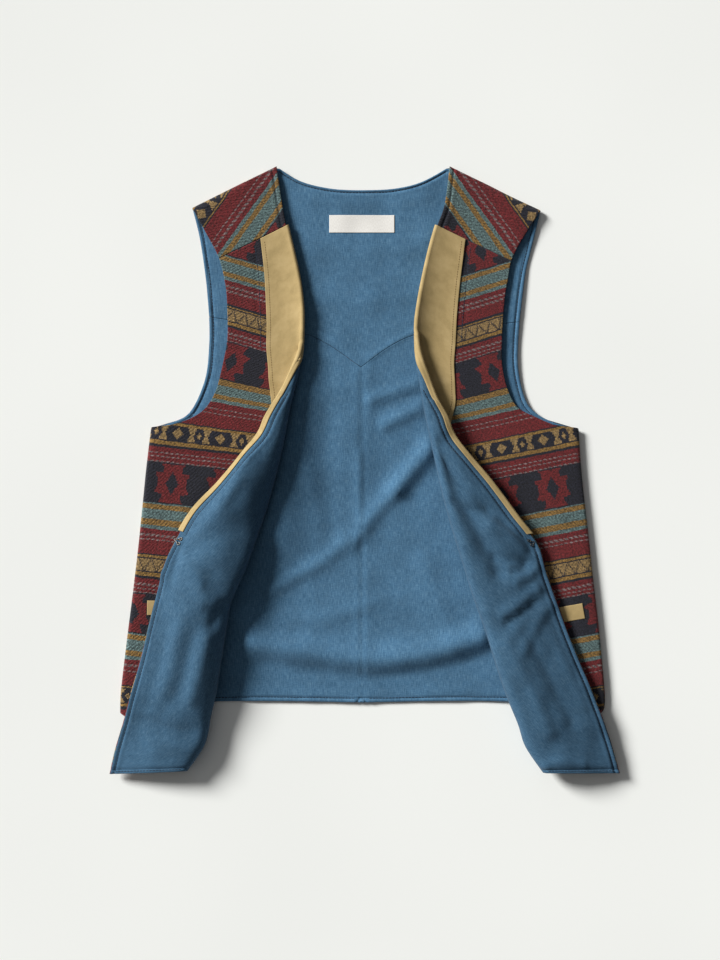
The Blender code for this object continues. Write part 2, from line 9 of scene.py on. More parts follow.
import bpy
import numpy as np
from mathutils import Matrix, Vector


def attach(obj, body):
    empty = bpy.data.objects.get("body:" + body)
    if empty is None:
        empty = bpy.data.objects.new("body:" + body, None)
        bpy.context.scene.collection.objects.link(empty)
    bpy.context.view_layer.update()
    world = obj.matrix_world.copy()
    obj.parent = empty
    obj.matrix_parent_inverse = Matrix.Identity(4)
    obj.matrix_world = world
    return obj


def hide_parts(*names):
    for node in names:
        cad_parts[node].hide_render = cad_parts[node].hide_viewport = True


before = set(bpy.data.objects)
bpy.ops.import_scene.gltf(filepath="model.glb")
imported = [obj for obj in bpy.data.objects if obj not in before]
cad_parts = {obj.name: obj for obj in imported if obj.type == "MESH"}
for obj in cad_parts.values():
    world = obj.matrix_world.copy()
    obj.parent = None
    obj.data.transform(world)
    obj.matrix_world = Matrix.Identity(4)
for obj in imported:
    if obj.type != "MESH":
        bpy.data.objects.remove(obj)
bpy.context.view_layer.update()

MM = 0.001
PLAN_CENTRE = np.array([1.496, 0.77, 0])

# Cloth and leather
WOOL = 1.8
LINING = 1.0
LEATHER = 1.0
PLY_GAP = 0.3
BUTTED_GAP = 0.04
LEATHER_GAP = 0.5
HALF_HOLLOW = 1.2

# Offsets from the seam surface, positive to the wool's side
WOOL_IN = PLY_GAP / 2
WOOL_OUT = WOOL_IN + WOOL
LINING_OUT = -PLY_GAP / 2
LINING_IN = LINING_OUT - LINING
LEATHER_ON_WOOL = WOOL_OUT + LEATHER_GAP + LEATHER / 2
LEATHER_ON_LINING = LINING_IN - LEATHER_GAP - LEATHER / 2

# The folds at the sides and shoulders
FOLD_RADIUS = HALF_HOLLOW - LINING_IN
BACK_CENTRE = FOLD_RADIUS + WOOL_OUT
FRONT_CENTRE = BACK_CENTRE + PLY_GAP
FOLD_ARC = math.pi / 2 * FOLD_RADIUS
BACK_LEVEL = BACK_CENTRE - FOLD_RADIUS
FRONT_LEVEL = FRONT_CENTRE + FOLD_RADIUS
SHOULDER_OUTWARD = (0.44, 0.9)
FOLD_LINE_EXTRA = 30

# Outline of the back, seen from above
BACK = {
    "left": {
        "side": [(-291, -290), (-290, -263), (-283, -203), (-274, -131), (-266, -59), (-260, 1), (-254, 51)],
        "armhole_low": [(-254, 51), (-232, 57), (-208, 70), (-190, 109), (-185, 150), (-185, 184)],
        "armhole_high": [(-185, 184), (-189, 229), (-196, 277), (-205, 314)],
        "shoulder": [(-205, 314), (-169, 332), (-135, 349), (-104, 364)],
    },
    "right": {
        "side": [(284, -291), (289, -275), (283, -203), (275, -131), (267, -59), (261, -5), (257, 50)],
        "armhole_low": [(257, 50), (230, 57), (208, 68), (194, 85), (185, 127), (187, 178)],
        "armhole_high": [(187, 178), (194, 235), (201, 265), (209, 298), (212, 311)],
        "shoulder": [(212, 311), (176, 328), (140, 346), (103, 364)],
    },
}
NECKLINE = [(-104, 364), (-76, 347), (-40, 338), (-1, 336), (38, 338), (70, 346), (103, 364)]
HEM = {"left": [(-291, -290), (-176, -277), (-2, -278)], "right": [(-2, -278), (173, -277), (284, -291)]}
YOKE_SEAM = {"left": [(-185, 184), (-70, 164), (-3, 124)], "right": [(-3, 124), (63, 163), (187, 178)]}
TOP_CORNERS = (0.25, 0.75)
ARMHOLE_FOOT = 0.55
LINING_ARMHOLE_FOOT = 0.72

# Fronts, hem first. A row crosses the front from its side, to the fold, and back to its free edge.
# lift: height of the roll, or of the edge where nothing is turned out. ridge: how far the roll's highest line
# lies from the fold. rest: height of the free edge.
# turn: degrees that the cloth has turned through at its edge. lapel: width of leather along the row.
FRONT_COLUMNS = ("side", "fold", "edge", "lift", "ridge", "rest", "turn", "lapel")
FRONT_ROWS = {
    "left": [
        ((-291, -290), (-211, -358), (-304, -363), 17, 18, 4, 180, 42),
        ((-291, -281), (-190, -326), (-296, -329), 20, 22, 6, 180, 42),
        ((-290, -263), (-183, -293), (-284, -293), 24, 26, 8, 180, 42),
        ((-287, -233), (-176, -263), (-272, -255), 29, 29, 9, 180, 42),
        ((-283, -203), (-171, -230), (-260, -215), 32, 30, 9, 180, 42),
        ((-279, -170), (-165, -194), (-249, -171), 34, 30, 9, 180, 42),
        ((-274, -131), (-158, -155), (-237, -125), 35, 31, 9, 180, 12),
        ((-269, -93), (-141, -116), (-224, -87), 36, 38, 11, 180, 14),
        ((-266, -59), (-128, -80), (-205, -50), 37, 45, 15, 180, 18),
        ((-263, -23), (-116, -45), (-172, -15), 37, 43, 22, 180, 24),
        ((-259, 13), (-105, -5), (-147, 15), 36, 35, 26, 180, 34),
        ((-256, 37), (-97, 29), (-125, 43), 31, 21, 25, 180, 45),
        ((-254, 51), (-91, 61), (-116, 63), 27, 14, 23, 180, 59),
        ((-232, 54), (-86, 85), (-105, 82), 22.5, 10, 20, 180, 57),
        ((-208, 62), (-81, 105), (-94, 101), 18.5, 7.2, 17.5, 192, 56.5),
        ((-190, 74), (-77, 124), (-84, 123), 15, 3.5, 15, 172, 55),
        ((-177, 95), (-74, 142), (-75.5, 142), 12.5, 0.7, 12.5, 105, 52.5),
        ((-169, 125), (-73, 166), (-73, 166), 9.5, 0, 9.5, 62, 49),
        ((-163, 157), (-73, 190), (-73, 190), 8.5, 0, 8.5, 36, 47),
        ((-163, 190), (-76, 219), (-76, 219), 6.5, 0, 6.5, 26, 44),
        ((-165, 220), (-82, 250), (-82, 250), 4.5, 0, 4.5, 25, 39.5),
        ((-173, 254), (-92, 293), (-92, 293), 3.5, 0, 3.5, 18, 35),
        ((-189, 285), (-97, 319), (-97, 319), 2, 0, 2, 10, 34),
        ((-205, 314), (-104, 364), (-104, 364), 0, 0, 0, 0, 34),
    ],
    "right": [
        ((284, -291), (215, -360), (307, -362), 19, 11, 4, 180, 42),
        ((287, -279), (194, -329), (297, -328), 22, 12, 6, 180, 42),
        ((287, -263), (185, -302), (287, -299), 25, 13.5, 8, 180, 42),
        ((285, -233), (171, -268), (271, -257), 27, 14, 9, 180, 42),
        ((283, -203), (159, -233), (253, -215), 28, 14, 9, 180, 42),
        ((280, -170), (146, -191), (236, -170), 27, 13.5, 9, 180, 42),
        ((276, -134), (131, -149), (220, -125), 27, 13, 9, 180, 12),
        ((272, -95), (117, -104), (209, -89), 27, 12.5, 11, 180, 12),
        ((267, -59), (104, -62), (183, -55), 28, 12, 14, 180, 16),
        ((263, -23), (94, -25), (153, -15), 28, 11, 16, 180, 24),
        ((260, 13), (85, 16), (122, 22), 27, 10, 18, 180, 34),
        ((258, 37), (79, 44), (105, 46), 23, 9, 17, 180, 57),
        ((257, 50), (74, 67), (98, 65), 21, 8.5, 16.5, 180, 69),
        ((230, 54), (70, 89), (86, 87), 19, 7, 16, 180, 67),
        ((206, 64), (67, 109), (77, 110), 16.5, 5.5, 15.2, 186, 64),
        ((184, 76), (64, 128), (69.5, 131), 13.8, 3, 13.8, 165, 63),
        ((172, 99), (63, 151), (64.5, 151.5), 12, 0.7, 12, 100, 58.5),
        ((166, 127), (63, 177), (63, 177), 10, 0, 10, 40, 54.5),
        ((166, 163), (67, 205), (67, 205), 8, 0, 8, 30, 50),
        ((169, 205), (73, 235), (73, 235), 6, 0, 6, 24, 45),
        ((173, 229), (80, 265), (80, 265), 4.5, 0, 4.5, 25, 42),
        ((177, 251), (88, 293), (88, 293), 3.5, 0, 3.5, 18, 38),
        ((190, 277), (97, 319), (97, 319), 2, 0, 2, 10, 38),
        ((212, 311), (103, 364), (103, 364), 0, 0, 0, 0, 38),
    ],
}
YOKE_ROW = 21
ARMHOLE_ROW = 12
LAST_ROW = 23
LAPEL_END_ROW = 7.4
SEAM_ROWS = 0.006
LAPEL_WRAP = 6

# How the cloth rolls over, in mm and in shares of the length that each curve spans
ROLL_RUN = 18
NECK_RUN = 40
ROLL_EASE = 0.6
NEAR_RIDGE = 15
FAR_RIDGE = 42
FAR_RIDGE_EASE = (0.24, 0.74)
LEAN = 0.4
CREST_EASE = 0.5
FALL_EASE = 0.4
SMALL_TURN_EASE = (1.4, 0.45)
FULL_FLAP = 22
LEAST_TURN = 18
RAMP_SHARE = 1 / 2.4
LEAST_FLAP = 0.5
SMALL_FLAP_STOPS = (0.35, 0.65)
LAST_STOPS = (0.2, 0.3)

# How finely the cloth is divided: cells between the stops of a row, and rows
RIM = (0, 0.004, 0.014, 0.03, 0.06)
ROW_STEP = 1 / 8
LIP_SHARES = (0, 0.04, 0.12, 0.25, 0.5, 0.75)
HEM_SHARES = (0, 0.25, 0.5, 0.7, 0.84, 0.93, 0.98)
EDGE_MARKS = (16, 14.6, 13.4, 12.6, 11.8, 11, 10, 9, 8.2, 7.4, 6.7)
EDGE_STEPS = (0.9, 1.8, 2.7, 3.6, 4.6, 5.8)
HEM_ROWS = (0.09, 0.115, 0.14, 0.165, 0.19, 0.22)
FRONT_CELLS = (26, 8, 9, 36)
CURVE_POINTS = (24, 16, 32)
LAPEL_CELLS = 14
LINING_SHY = 1.4
RIM_STEPS = (0.15, 0.5, 1.2)
RIM_RUN = 2.2
LIP_RUN = FOLD_ARC + 0.5
THIN_RIM = 0.12
# Cells across and down the sheets of the back, each with the length that they are spread over
SHELL_CELLS = ((60, 580), (70, 600))
YOKE_CELLS = ((60, 400), (36, 190))
HALF_CELLS = ((40, 280), (70, 430))

# Soft creases laid into the cloth: points of the crease, half width, height
CREASES = {
    "back": [
        ([(89, 37), (62, 6), (40, -22)], 11, 7.0),
        ([(36, -26), (12, -54), (-14, -89)], 9, 3.6),
        ([(-22, -83), (-46, -107), (-76, -124), (-110, -143)], 8, 3.6),
        ([(26, 55), (50, 67), (74, 79)], 8, 4.2),
        ([(10, 85), (38, 94), (68, 104)], 7, 3.4),
        ([(-78, 85), (-80, 30), (-84, -20), (-98, -70)], 30, 8.0),
        ([(-14, 100), (-18, 50), (-20, 0)], 26, 3.0),
        ([(-134, -206), (-60, -218), (20, -227), (90, -216), (150, -196)], 15, 9.5),
        ([(-159, -238), (-89, -246), (-4, -256), (52, -252), (117, -238), (152, -222)], 12, -3.4),
        ([(-8, 118), (-9, 25), (-8, -107), (-7, -263)], 5, 0.6),
        ([(5, 118), (7, 25), (5, -107), (4, -263)], 5, 0.6),
        ([(-4, 20), (-4, -20), (-4, -60)], 6, 1.6),
        ([(-76, 329), (-40, 322), (-1, 319), (44, 322), (74, 329)], 8, 0.9),
        ([(-70, 277), (-22, 265), (44, 265), (74, 273)], 12, 1.1),
        ([(-64, 217), (-22, 202), (38, 205), (68, 214)], 12, 1.2),
        ([(-64, 169), (-34, 154), (-7, 133)], 4, 0.9),
        ([(65, 169), (34, 152), (5, 133)], 4, 0.9),
        ([(-76, 25), (-58, -35), (-50, -83)], 10, 1.6),
        ([(68, -107), (92, -155), (104, -203)], 11, 1.8),
        ([(-88, -179), (-40, -177), (20, -155)], 10, 1.8),
    ],
    "left_flap": [
        ([(-148, -11), (-166, -37), (-188, -64), (-204, -83)], 8, 2.0),
        ([(-146, -59), (-168, -76), (-190, -90)], 14, -3.0),
        ([(-232, -112), (-245, -155), (-256, -200), (-266, -235), (-273, -262)], 34, 9.0),
        ([(-204, -200), (-212, -235), (-222, -268)], 12, -2.5),
        ([(-128, -86), (-140, -112), (-152, -138), (-158, -156)], 13, 6.0),
        ([(-206, -96), (-190, -108), (-176, -122)], 4, -2.6),
        ([(-210, -100), (-198, -118), (-190, -134)], 4.5, 2.2),
        ([(-217, -99), (-220, -115), (-223, -136)], 5, -2.4),
        ([(-238, -122), (-218, -139), (-191, -158)], 6, 2.6),
        ([(-230, -132), (-212, -150), (-190, -172)], 5, -1.8),
        ([(-208, -115), (-191, -141), (-176, -158)], 6, 2.2),
        ([(-166, -160), (-172, -170), (-178, -182)], 8, -4.0),
        ([(-186, -196), (-194, -230), (-206, -270)], 9, 3.2),
        ([(-212, -170), (-222, -215), (-236, -260)], 10, 1.8),
        ([(-228, -185), (-240, -230), (-256, -280)], 8, -1.6),
        ([(-256, -311), (-238, -326), (-208, -333)], 8, 2.0),
        ([(-262, -296), (-236, -306), (-204, -312)], 7, -1.4),
    ],
    "right_flap": [
        ([(92, 30), (105, -8), (124, -50), (146, -90), (160, -120)], 11, -5.5),
        ([(98, 7), (128, -26), (164, -59), (200, -91)], 5, -2.2),
        ([(106, -39), (125, -47), (147, -50)], 6, -3.2),
        ([(150, -66), (172, -76), (190, -92)], 7, 2.4),
        ([(207, -141), (188, -158), (166, -171)], 6, 3.4),
        ([(202, -155), (185, -170), (171, -182)], 6, -2.8),
        ([(222, -160), (204, -186), (190, -214)], 7, 2.4),
        ([(218, -350), (238, -346), (262, -350)], 5, 2.2),
        ([(157, -103), (173, -107), (190, -110)], 5, -2.8),
        ([(178, -121), (188, -117), (196, -111)], 3.5, -2.4),
        ([(182, -132), (196, -126), (206, -116)], 4, 2.2),
        ([(170, -203), (200, -263), (221, -311)], 9, 2.2),
        ([(196, -196), (222, -248), (248, -300)], 8, -1.8),
        ([(220, -190), (240, -230), (262, -280)], 8, 1.6),
    ],
    "left_body": [
        ([(-129, 273), (-128, 229), (-127, 181)], 2.2, -0.7),
        ([(-178, 1), (-214, -47), (-238, -107)], 10, 1.0),
        ([(-244, 37), (-214, 25), (-178, 37)], 8, 0.9),
        ([(-256, -203), (-250, -155), (-235, -107)], 9, -0.8),
    ],
    "right_body": [
        ([(124, 271), (123, 229), (121, 181)], 2.2, -0.7),
        ([(188, 37), (218, -11), (236, -59)], 10, 1.0),
        ([(242, -107), (254, -167), (272, -227)], 9, 1.0),
    ],
}

# Stitched edges: how far in the stitches run, and the form of the cloth beside them
FLAP_STITCH = 6.4
HEM_STITCH = 4.8
ARMHOLE_STITCH = 4.8
NECK_STITCH = 3.2
YOKE_STITCH = 6
LEATHER_STITCH = 4.8
LEATHER_STRIP = 5
SEAM_LINE = 7.5
SEAM_LINE_ROW = 17
RIM_HEIGHT = 0.55
GROOVE_DEPTH = 1.0
GROOVE_WIDTH = 1.25
RIM_PLACE = (0.45, 0.4)
SWELL_HEIGHT = 0.45
SWELL_PLACE = (3.6, 2.6)
RIPPLE_WAVES = 8
RIPPLE_TURN = 2.4
RIPPLE_STRETCH = (0.6, 0.17)
RIPPLE_SHIFT = 1.9
FLAP_RIPPLE = (48, 1.5)
BACK_RIPPLE = (58, 1.3)
BACK_LOFT = 0.5
LEAST_RELIEF = -0.15
COVER_FADE = (-8, 4)
FLAP_FADE = 14
LIP_FADE = 12
FLAP_STITCH_END = 13.4
HEM_STITCH_LENGTH = 90
DARK_STITCH = (3.4, 0.5, 0.5)
TAN_STITCH = (1.9, 1.1, 0.42)
FLAP_SEAM_FADE = (-14.2, -12.8)
STITCH_RINGS = ((-0.5, 0.35), (-0.3, 1), (0.3, 1), (0.5, 0.35))
STITCH_FLATNESS = 0.8
STITCH_STAND = {"lining": 0.1, "leather": 0.05, "back": 0.15}
# Shares of the length of each edge of the back between which it is stitched
ARMHOLE_STITCHED = (0.06, 0.97)
HEM_STITCHED = (0.03, 0.97)
NECK_STITCHED = (0.02, 0.98)

# Stripes of the wool, counted in chart units of 1.2 mm from the start of each motif band
UNIT = 1.2
REPEAT = 133
THREAD = 1.5
BANDS = [
    (0, "navy"),
    (14, "gold"),
    (17.5, "navy"),
    (20, "red"),
    (25, "grey"),
    (26.6, "red"),
    (29.2, "grey"),
    (30.8, "red"),
    (33.4, "grey"),
    (35, "navy"),
    (76.5, "teal"),
    (77.8, "gold"),
    (83, "teal"),
    (93, "gold"),
    (99, "teal"),
    (102.5, "red"),
    (108, "grey"),
    (109.8, "red"),
    (113, "grey"),
    (114.8, "red"),
    (128, "navy"),
    (129.5, "gold"),
    (131.5, "navy"),
]
MOTIF_END = 13
STAR_MIDDLE = 56
STAR_SIZE = (21, 23.5)
STAR_HEART = (8, 14)
# Half width of the star at heights from its middle to its tip, both as shares
STAR_SHAPE = ((0, 0.8), (0.2, 0.82), (0.42, 1), (0.5, 0.95), (0.56, 0.5), (0.75, 0.52), (1, 0.68))
TWILL_PITCH = 4.8
STAR_PITCH = 62
DIAMOND_PITCH = 52
ZIGZAG_PITCH = 15
ZIGZAG_LINE = 0.13
# Motifs of the narrow band: half width and tip of each diamond, half width and flare of the waisted bar
DIAMOND = (7.5, 0.85)
SMALL_DIAMOND = (4.5, 0.6)
SMALL_PLACE = 26
BAR = (1.8, 3.4)
BAR_PLACE = 17
# Parts of the chart that are dashed, and the part with clear twill lines: middle and half width
DASHED = ((27.5, 7.5), (115, 12.5))
TWILLED = (89, 12.5)
DASH_PITCH = 6.2
DASH_SHARE = 0.45
PALETTE = {
    "red": (110, 31, 34),
    "navy": (30, 31, 43),
    "tan": (150, 123, 80),
    "gold": (143, 110, 56),
    "teal": (98, 122, 122),
    "grey": (128, 114, 114),
}
DARK_THREAD = (20, 34, 54)
TAN_THREAD = (128, 104, 62)

# Tones of the denim and the leather, each with the level of the noise where it shows
DENIM_TONES = ((0.36, (46, 83, 112)), (0.5, (70, 109, 140)), (0.66, (104, 141, 168)))
LEATHER_TONES = ((0.3, (158, 137, 92)), (0.5, (174, 151, 104)), (0.7, (186, 163, 116)))

# Where the stripes start and how they slope: degrees below and above the armhole, height of the start at x
STRIPES = {
    "left": {"slope": (6, 16), "start": 45, "at": -160, "star": -230},
    "right": {"slope": (11, 17), "start": 34, "at": 160, "star": -226},
}
SLOPE_CHANGE = (20, 150)
UPPER_REPEAT = 124 / 133
YOKE_TIP = {"left": (-205, 314), "right": (212, 311)}
YOKE_SLANT = 54
YOKE_START = 151 + REPEAT
STAR_TURN = 15

# Leather welt of each pocket: lower corner at the side, length, height, slope in degrees
WELTS = {"left": ((-259, -173), 74, 17.5, -1), "right": ((265, -177), 74, 18.5, 190)}
LABEL_CENTRE = (-2, 295.5)
LABEL_SIZE = (78, 21)
LABEL_THICKNESS = 0.5
PATCH_CELLS = (24, 10)

# Clasp: its row and inset, its wire, the sewing rings, and the loop as (share of its reach, place across)
CLASP_ROW = 7.15
CLASP_INSET = 8
CLASP_WIRE = 0.6
CLASP_RING = 1.6
RING_OFFSET = 3
RING_TURNS = range(40, 321, 14)
CLASP_REACH = {"left": 7, "right": 4.8}
CLASP_LOOP = ((0.5, -1.3), (1, -0.9), (1.15, 0), (1, 0.9), (0.5, 1.3))

# Camera straight above the photograph's middle. Lights, each with the way it comes from, its spread in
# degrees and its strength: a soft one from the upper left, and a wide weak one. The floor's half width is
# in metres.
CAMERA_AIM = (-4.2, -11.4)
CAMERA_HEIGHT = 3000
PHOTO_LENGTH = 1152
SENSOR = 36
LIGHTS = {"window": ((-0.8, 0.5, 0.51), 19, 5.42), "wall": ((-0.55, 0.35, 0.75), 105, 0.4)}
LIGHT_COLOUR = (255, 254, 251)
ROOM_COLOUR = (250, 251, 255)
ROOM = 0.075
FLOOR_SIZE = 6


def srgb(r, g, b):
    """A colour as it looks on screen, to the linear values that shaders take."""
    values = [c / 255 for c in (r, g, b)]
    return tuple(c / 12.92 if c <= 0.04045 else ((c + 0.055) / 1.055) ** 2.4 for c in values)


def metres(points):
    return (np.asarray(points, float) - PLAN_CENTRE) * MM


def catmull(values, ks):
    """The smooth curve through rows of values, at positions ks counted in rows."""
    values, ks = np.asarray(values, float), np.atleast_1d(np.asarray(ks, float))
    last = len(values) - 1
    i = np.minimum(ks.astype(int), last - 1)
    t = (ks - i)[:, None]
    p, q, r, s = (values[np.clip(j, 0, last)] for j in (i - 1, i, i + 1, i + 2))
    return 0.5 * (2 * q + (r - p) * t + (2 * p - 5 * q + 4 * r - s) * t**2 + (3 * q - p - 3 * r + s) * t**3)


def read_off(s, marks, values):
    """Points or vectors along a line at distances s, from values that stand at marks."""
    return np.stack([np.interp(s, marks, axis) for axis in values.T], axis=-1)


class Run:
    """A line of dense points that is read by its length."""

    def __init__(self, points):
        self.points = np.asarray(points, float)
        self.marks = np.concatenate([[0], np.cumsum(np.linalg.norm(np.diff(self.points, axis=0), axis=1))])
        self.length = self.marks[-1]

    def at(self, s):
        return read_off(s, self.marks, self.points)


def smooth_run(points, steps=24):
    return Run(catmull(points, np.linspace(0, len(points) - 1, (len(points) - 1) * steps + 1)))


def chain(*pieces):
    """Joins lines end to end as a function of 0 to 1. Each piece is (points, the value where it ends)."""
    runs = [(smooth_run(points), end) for points, end in pieces]

    def point(w):
        w = np.atleast_1d(np.asarray(w, float))
        out = np.zeros((len(w), 2))
        start = 0.0
        for run, end in runs:
            inside = (w >= start) if end == runs[-1][1] else (w >= start) & (w <= end)
            out[inside] = run.at((w[inside] - start) / (end - start) * run.length)
            start = end
        return out

    return point


def bent_lines():
    """Segments of the lines that the cloth folds over, each with the way out of the vest."""
    starts, ends, outs = [], [], []
    for side, sign in (("left", -1), ("right", 1)):
        for name, outward in (("side", (1, 0)), ("shoulder", SHOULDER_OUTWARD)):
            points = smooth_run(BACK[side][name], 12).points
            head, tail = points[0] - points[1], points[-1] - points[-2]
            first = points[0] + head / np.linalg.norm(head) * FOLD_LINE_EXTRA
            last = points[-1] + tail / np.linalg.norm(tail) * FOLD_LINE_EXTRA
            points = np.vstack([first, points, last])
            along = np.diff(points, axis=0)
            out = np.stack([-along[:, 1], along[:, 0]], axis=1) / np.linalg.norm(along, axis=1)[:, None]
            out *= np.sign(out @ np.array([sign * outward[0], outward[1]]))[:, None]
            starts.append(points[:-1])
            ends.append(points[1:])
            outs.append(out)
    return np.vstack(starts), np.vstack(ends), np.vstack(outs)


FOLDS = bent_lines()


def nearest_on(points, starts, ends):
    """For each point, the nearest segment, the foot on it and the distance."""
    along = ends - starts
    offset = points[:, None, :] - starts[None]
    share = np.clip((offset * along[None]).sum(-1) / np.maximum((along**2).sum(-1), 1e-9)[None], 0, 1)
    feet = starts[None] + along[None] * share[..., None]
    gaps = np.linalg.norm(points[:, None, :] - feet, axis=-1)
    best = gaps.argmin(axis=1)
    rows = np.arange(len(points))
    return best, feet[rows, best], gaps[rows, best]


def fold_over(flat, front):
    """From the flat pattern to the seam surface, which turns down (front) or up (back) at a fold."""
    flat = np.asarray(flat, float)[:, :2]
    centre, level, up = (FRONT_CENTRE, FRONT_LEVEL, 1) if front else (BACK_CENTRE, BACK_LEVEL, -1)
    best, foot, gap = nearest_on(flat, FOLDS[0], FOLDS[1])
    out = FOLDS[2][best]
    inward = np.where(gap < FOLD_ARC + 1, ((foot - flat) * out).sum(-1), math.inf)
    bent = inward < FOLD_ARC
    angle = np.clip((FOLD_ARC - np.where(bent, inward, FOLD_ARC)) / FOLD_RADIUS, 0, math.pi / 2)
    curled = foot - out * FOLD_ARC + out * (FOLD_RADIUS * np.sin(angle))[:, None]
    place = np.where(bent[:, None], curled, flat)
    height = centre + up * FOLD_RADIUS * np.cos(angle)
    normal = np.column_stack([out * np.sin(angle)[:, None], up * np.cos(angle)])
    return np.column_stack([place, height]), normal


def relief(points, creases):
    """Height of the soft creases at each plan point."""
    total = np.zeros(len(points))
    for line, width, height in creases:
        run = smooth_run(line, 6).points
        _, _, gap = nearest_on(points, run[:-1], run[1:])
        total += height * np.exp(-((gap / width) ** 2))
    return total


def ripple(points, size, height):
    """Gentle unevenness of cloth that lies loose: waves of about one size, in turned directions."""
    total = np.zeros(len(points))
    for i in range(RIPPLE_WAVES):
        angle, stretch = i * RIPPLE_TURN, RIPPLE_STRETCH[0] + RIPPLE_STRETCH[1] * i
        along = points[:, 0] * math.cos(angle) + points[:, 1] * math.sin(angle)
        total += np.sin(along * 2 * math.pi / (size * stretch) + RIPPLE_SHIFT * i * i)
    return total * height / RIPPLE_WAVES


def edge_seam(distance, stitched):
    """Height of a stitched edge: a rounded rim outside the stitches, a groove at them, and a swell inside."""
    rim = RIM_HEIGHT * np.exp(-(((distance - stitched * RIM_PLACE[0]) / (stitched * RIM_PLACE[1])) ** 2))
    groove = GROOVE_DEPTH * np.exp(-(((distance - stitched) / GROOVE_WIDTH) ** 2))
    swell = SWELL_HEIGHT * np.exp(-(((distance - stitched - SWELL_PLACE[0]) / SWELL_PLACE[1]) ** 2))
    return rim - groove + swell


def smoothstep(x, low, high):
    t = np.clip((x - low) / (high - low), 0, 1)
    return t * t * (3 - 2 * t)


def coons(bottom, top, left, right, across, along):
    """A flat grid between four border curves: rows from bottom to top, columns from left to right."""
    u, v = np.asarray(across)[None, :, None], np.asarray(along)[:, None, None]
    low, high = bottom(across)[None], top(across)[None]
    west, east = left(along)[:, None], right(along)[:, None]
    corners = (bottom(0) * (1 - u) + bottom(1) * u) * (1 - v) + (top(0) * (1 - u) + top(1) * u) * v
    return low * (1 - v) + high * v + west * (1 - u) + east * u - corners


def shares(cells, length, rim_low, rim_high):
    """Fractions from 0 to 1 with fine steps at both ends, for the bent lips and the rounded rims."""
    ends = []
    for rim in (rim_low, rim_high):
        bend = np.linspace(2, rim, 5 if rim > 3 else 2)
        ends.append(np.array([0, *RIM_STEPS, *bend, *(rim + np.array(EDGE_STEPS))]) / length)
    low, high = ends[0], 1 - ends[1]
    return np.concatenate([low, np.linspace(low[-1], high[-1], cells + 1)[1:-1], high[::-1]])


def bezier(a, b, c, d, count):
    t = np.linspace(0, 1, count + 1)[1:, None]
    a, b, c, d = (np.asarray(p, float) for p in (a, b, c, d))
    return a * (1 - t) ** 3 + b * 3 * t * (1 - t) ** 2 + c * 3 * t**2 * (1 - t) + d * t**3


def front_rows(side, ks):
    """Rows of the front table at positions ks, with their columns by name."""
    values = catmull([(*r[0], *r[1], *r[2], *r[3:]) for r in FRONT_ROWS[side]], ks)
    return [dict(zip(FRONT_COLUMNS, (v[0:2], v[2:4], v[4:6], *v[6:]))) for v in values]


def front_section(row):
    """The line that the seam surface follows along one row, over the roll and back to the free edge."""
    side, fold, edge, lift = row["side"], row["fold"], row["edge"], row["lift"]
    reach = np.linalg.norm(fold - side)
    along = (fold - side) / reach
    turned_out = np.linalg.norm(edge - fold)
    back = (edge - fold) / turned_out if turned_out > LEAST_FLAP else -along
    far = min(max(row["ridge"] - NEAR_RIDGE, 0) / (FAR_RIDGE - NEAR_RIDGE), 1)
    crest = lift * (1 - (CREST_EASE + FAR_RIDGE_EASE[0] * far) * min(turned_out, 1))
    ramp = min(NECK_RUN + (ROLL_RUN - NECK_RUN) * min(turned_out / LEAST_TURN, 1), reach * RAMP_SHARE)
    turn = math.radians(row["turn"])
    slope = min(turn, math.pi / 2)
    lean = np.array([math.cos(slope), math.sin(slope)]) * (LEAN * crest + PLY_GAP)
    start, at_fold = np.array([reach - ramp, 0]), np.array([reach, crest])
    rise_count, crest_count, flap_count = CURVE_POINTS
    rise = bezier(start, start + [ramp * ROLL_EASE, 0], at_fold - lean, at_fold, rise_count)
    flat = np.vstack([[[0, 0]], [start], rise])
    points = np.column_stack([side + along * flat[:, :1], FRONT_LEVEL + flat[:, 1]])
    features = [1, len(points) - 1, len(points) - 1]
    foot, end = np.array([0, crest]), np.array([turned_out, row["rest"]])
    over = None
    if turned_out > LEAST_TURN:
        top = np.array([row["ridge"], lift])
        swing = np.linalg.norm(top - foot) * CREST_EASE
        fall = (end - top) * FALL_EASE
        climb = foot + [0, swing * (1 - FAR_RIDGE_EASE[1] * far)]
        up = bezier(foot, climb, top - [swing, 0], top, crest_count)
        over = np.vstack([up, bezier(top, top + [np.linalg.norm(fall), 0], end - fall, end, flap_count)])
    elif turned_out > LEAST_FLAP:
        climb, reach_in = SMALL_TURN_EASE
        lead = np.array([-math.cos(turn), math.sin(turn)]) * np.linalg.norm(end - foot) * reach_in
        over = bezier(foot, foot + [0, climb * (lift - crest)], end - lead, end, crest_count + flap_count)
    if over is not None:
        points = np.vstack([points, np.column_stack([fold + back * over[:, :1], FRONT_LEVEL + over[:, 1]])])
        features[2] += crest_count
    run = Run(points)
    return run, [run.marks[i] for i in features], min(turned_out / FULL_FLAP, 1)


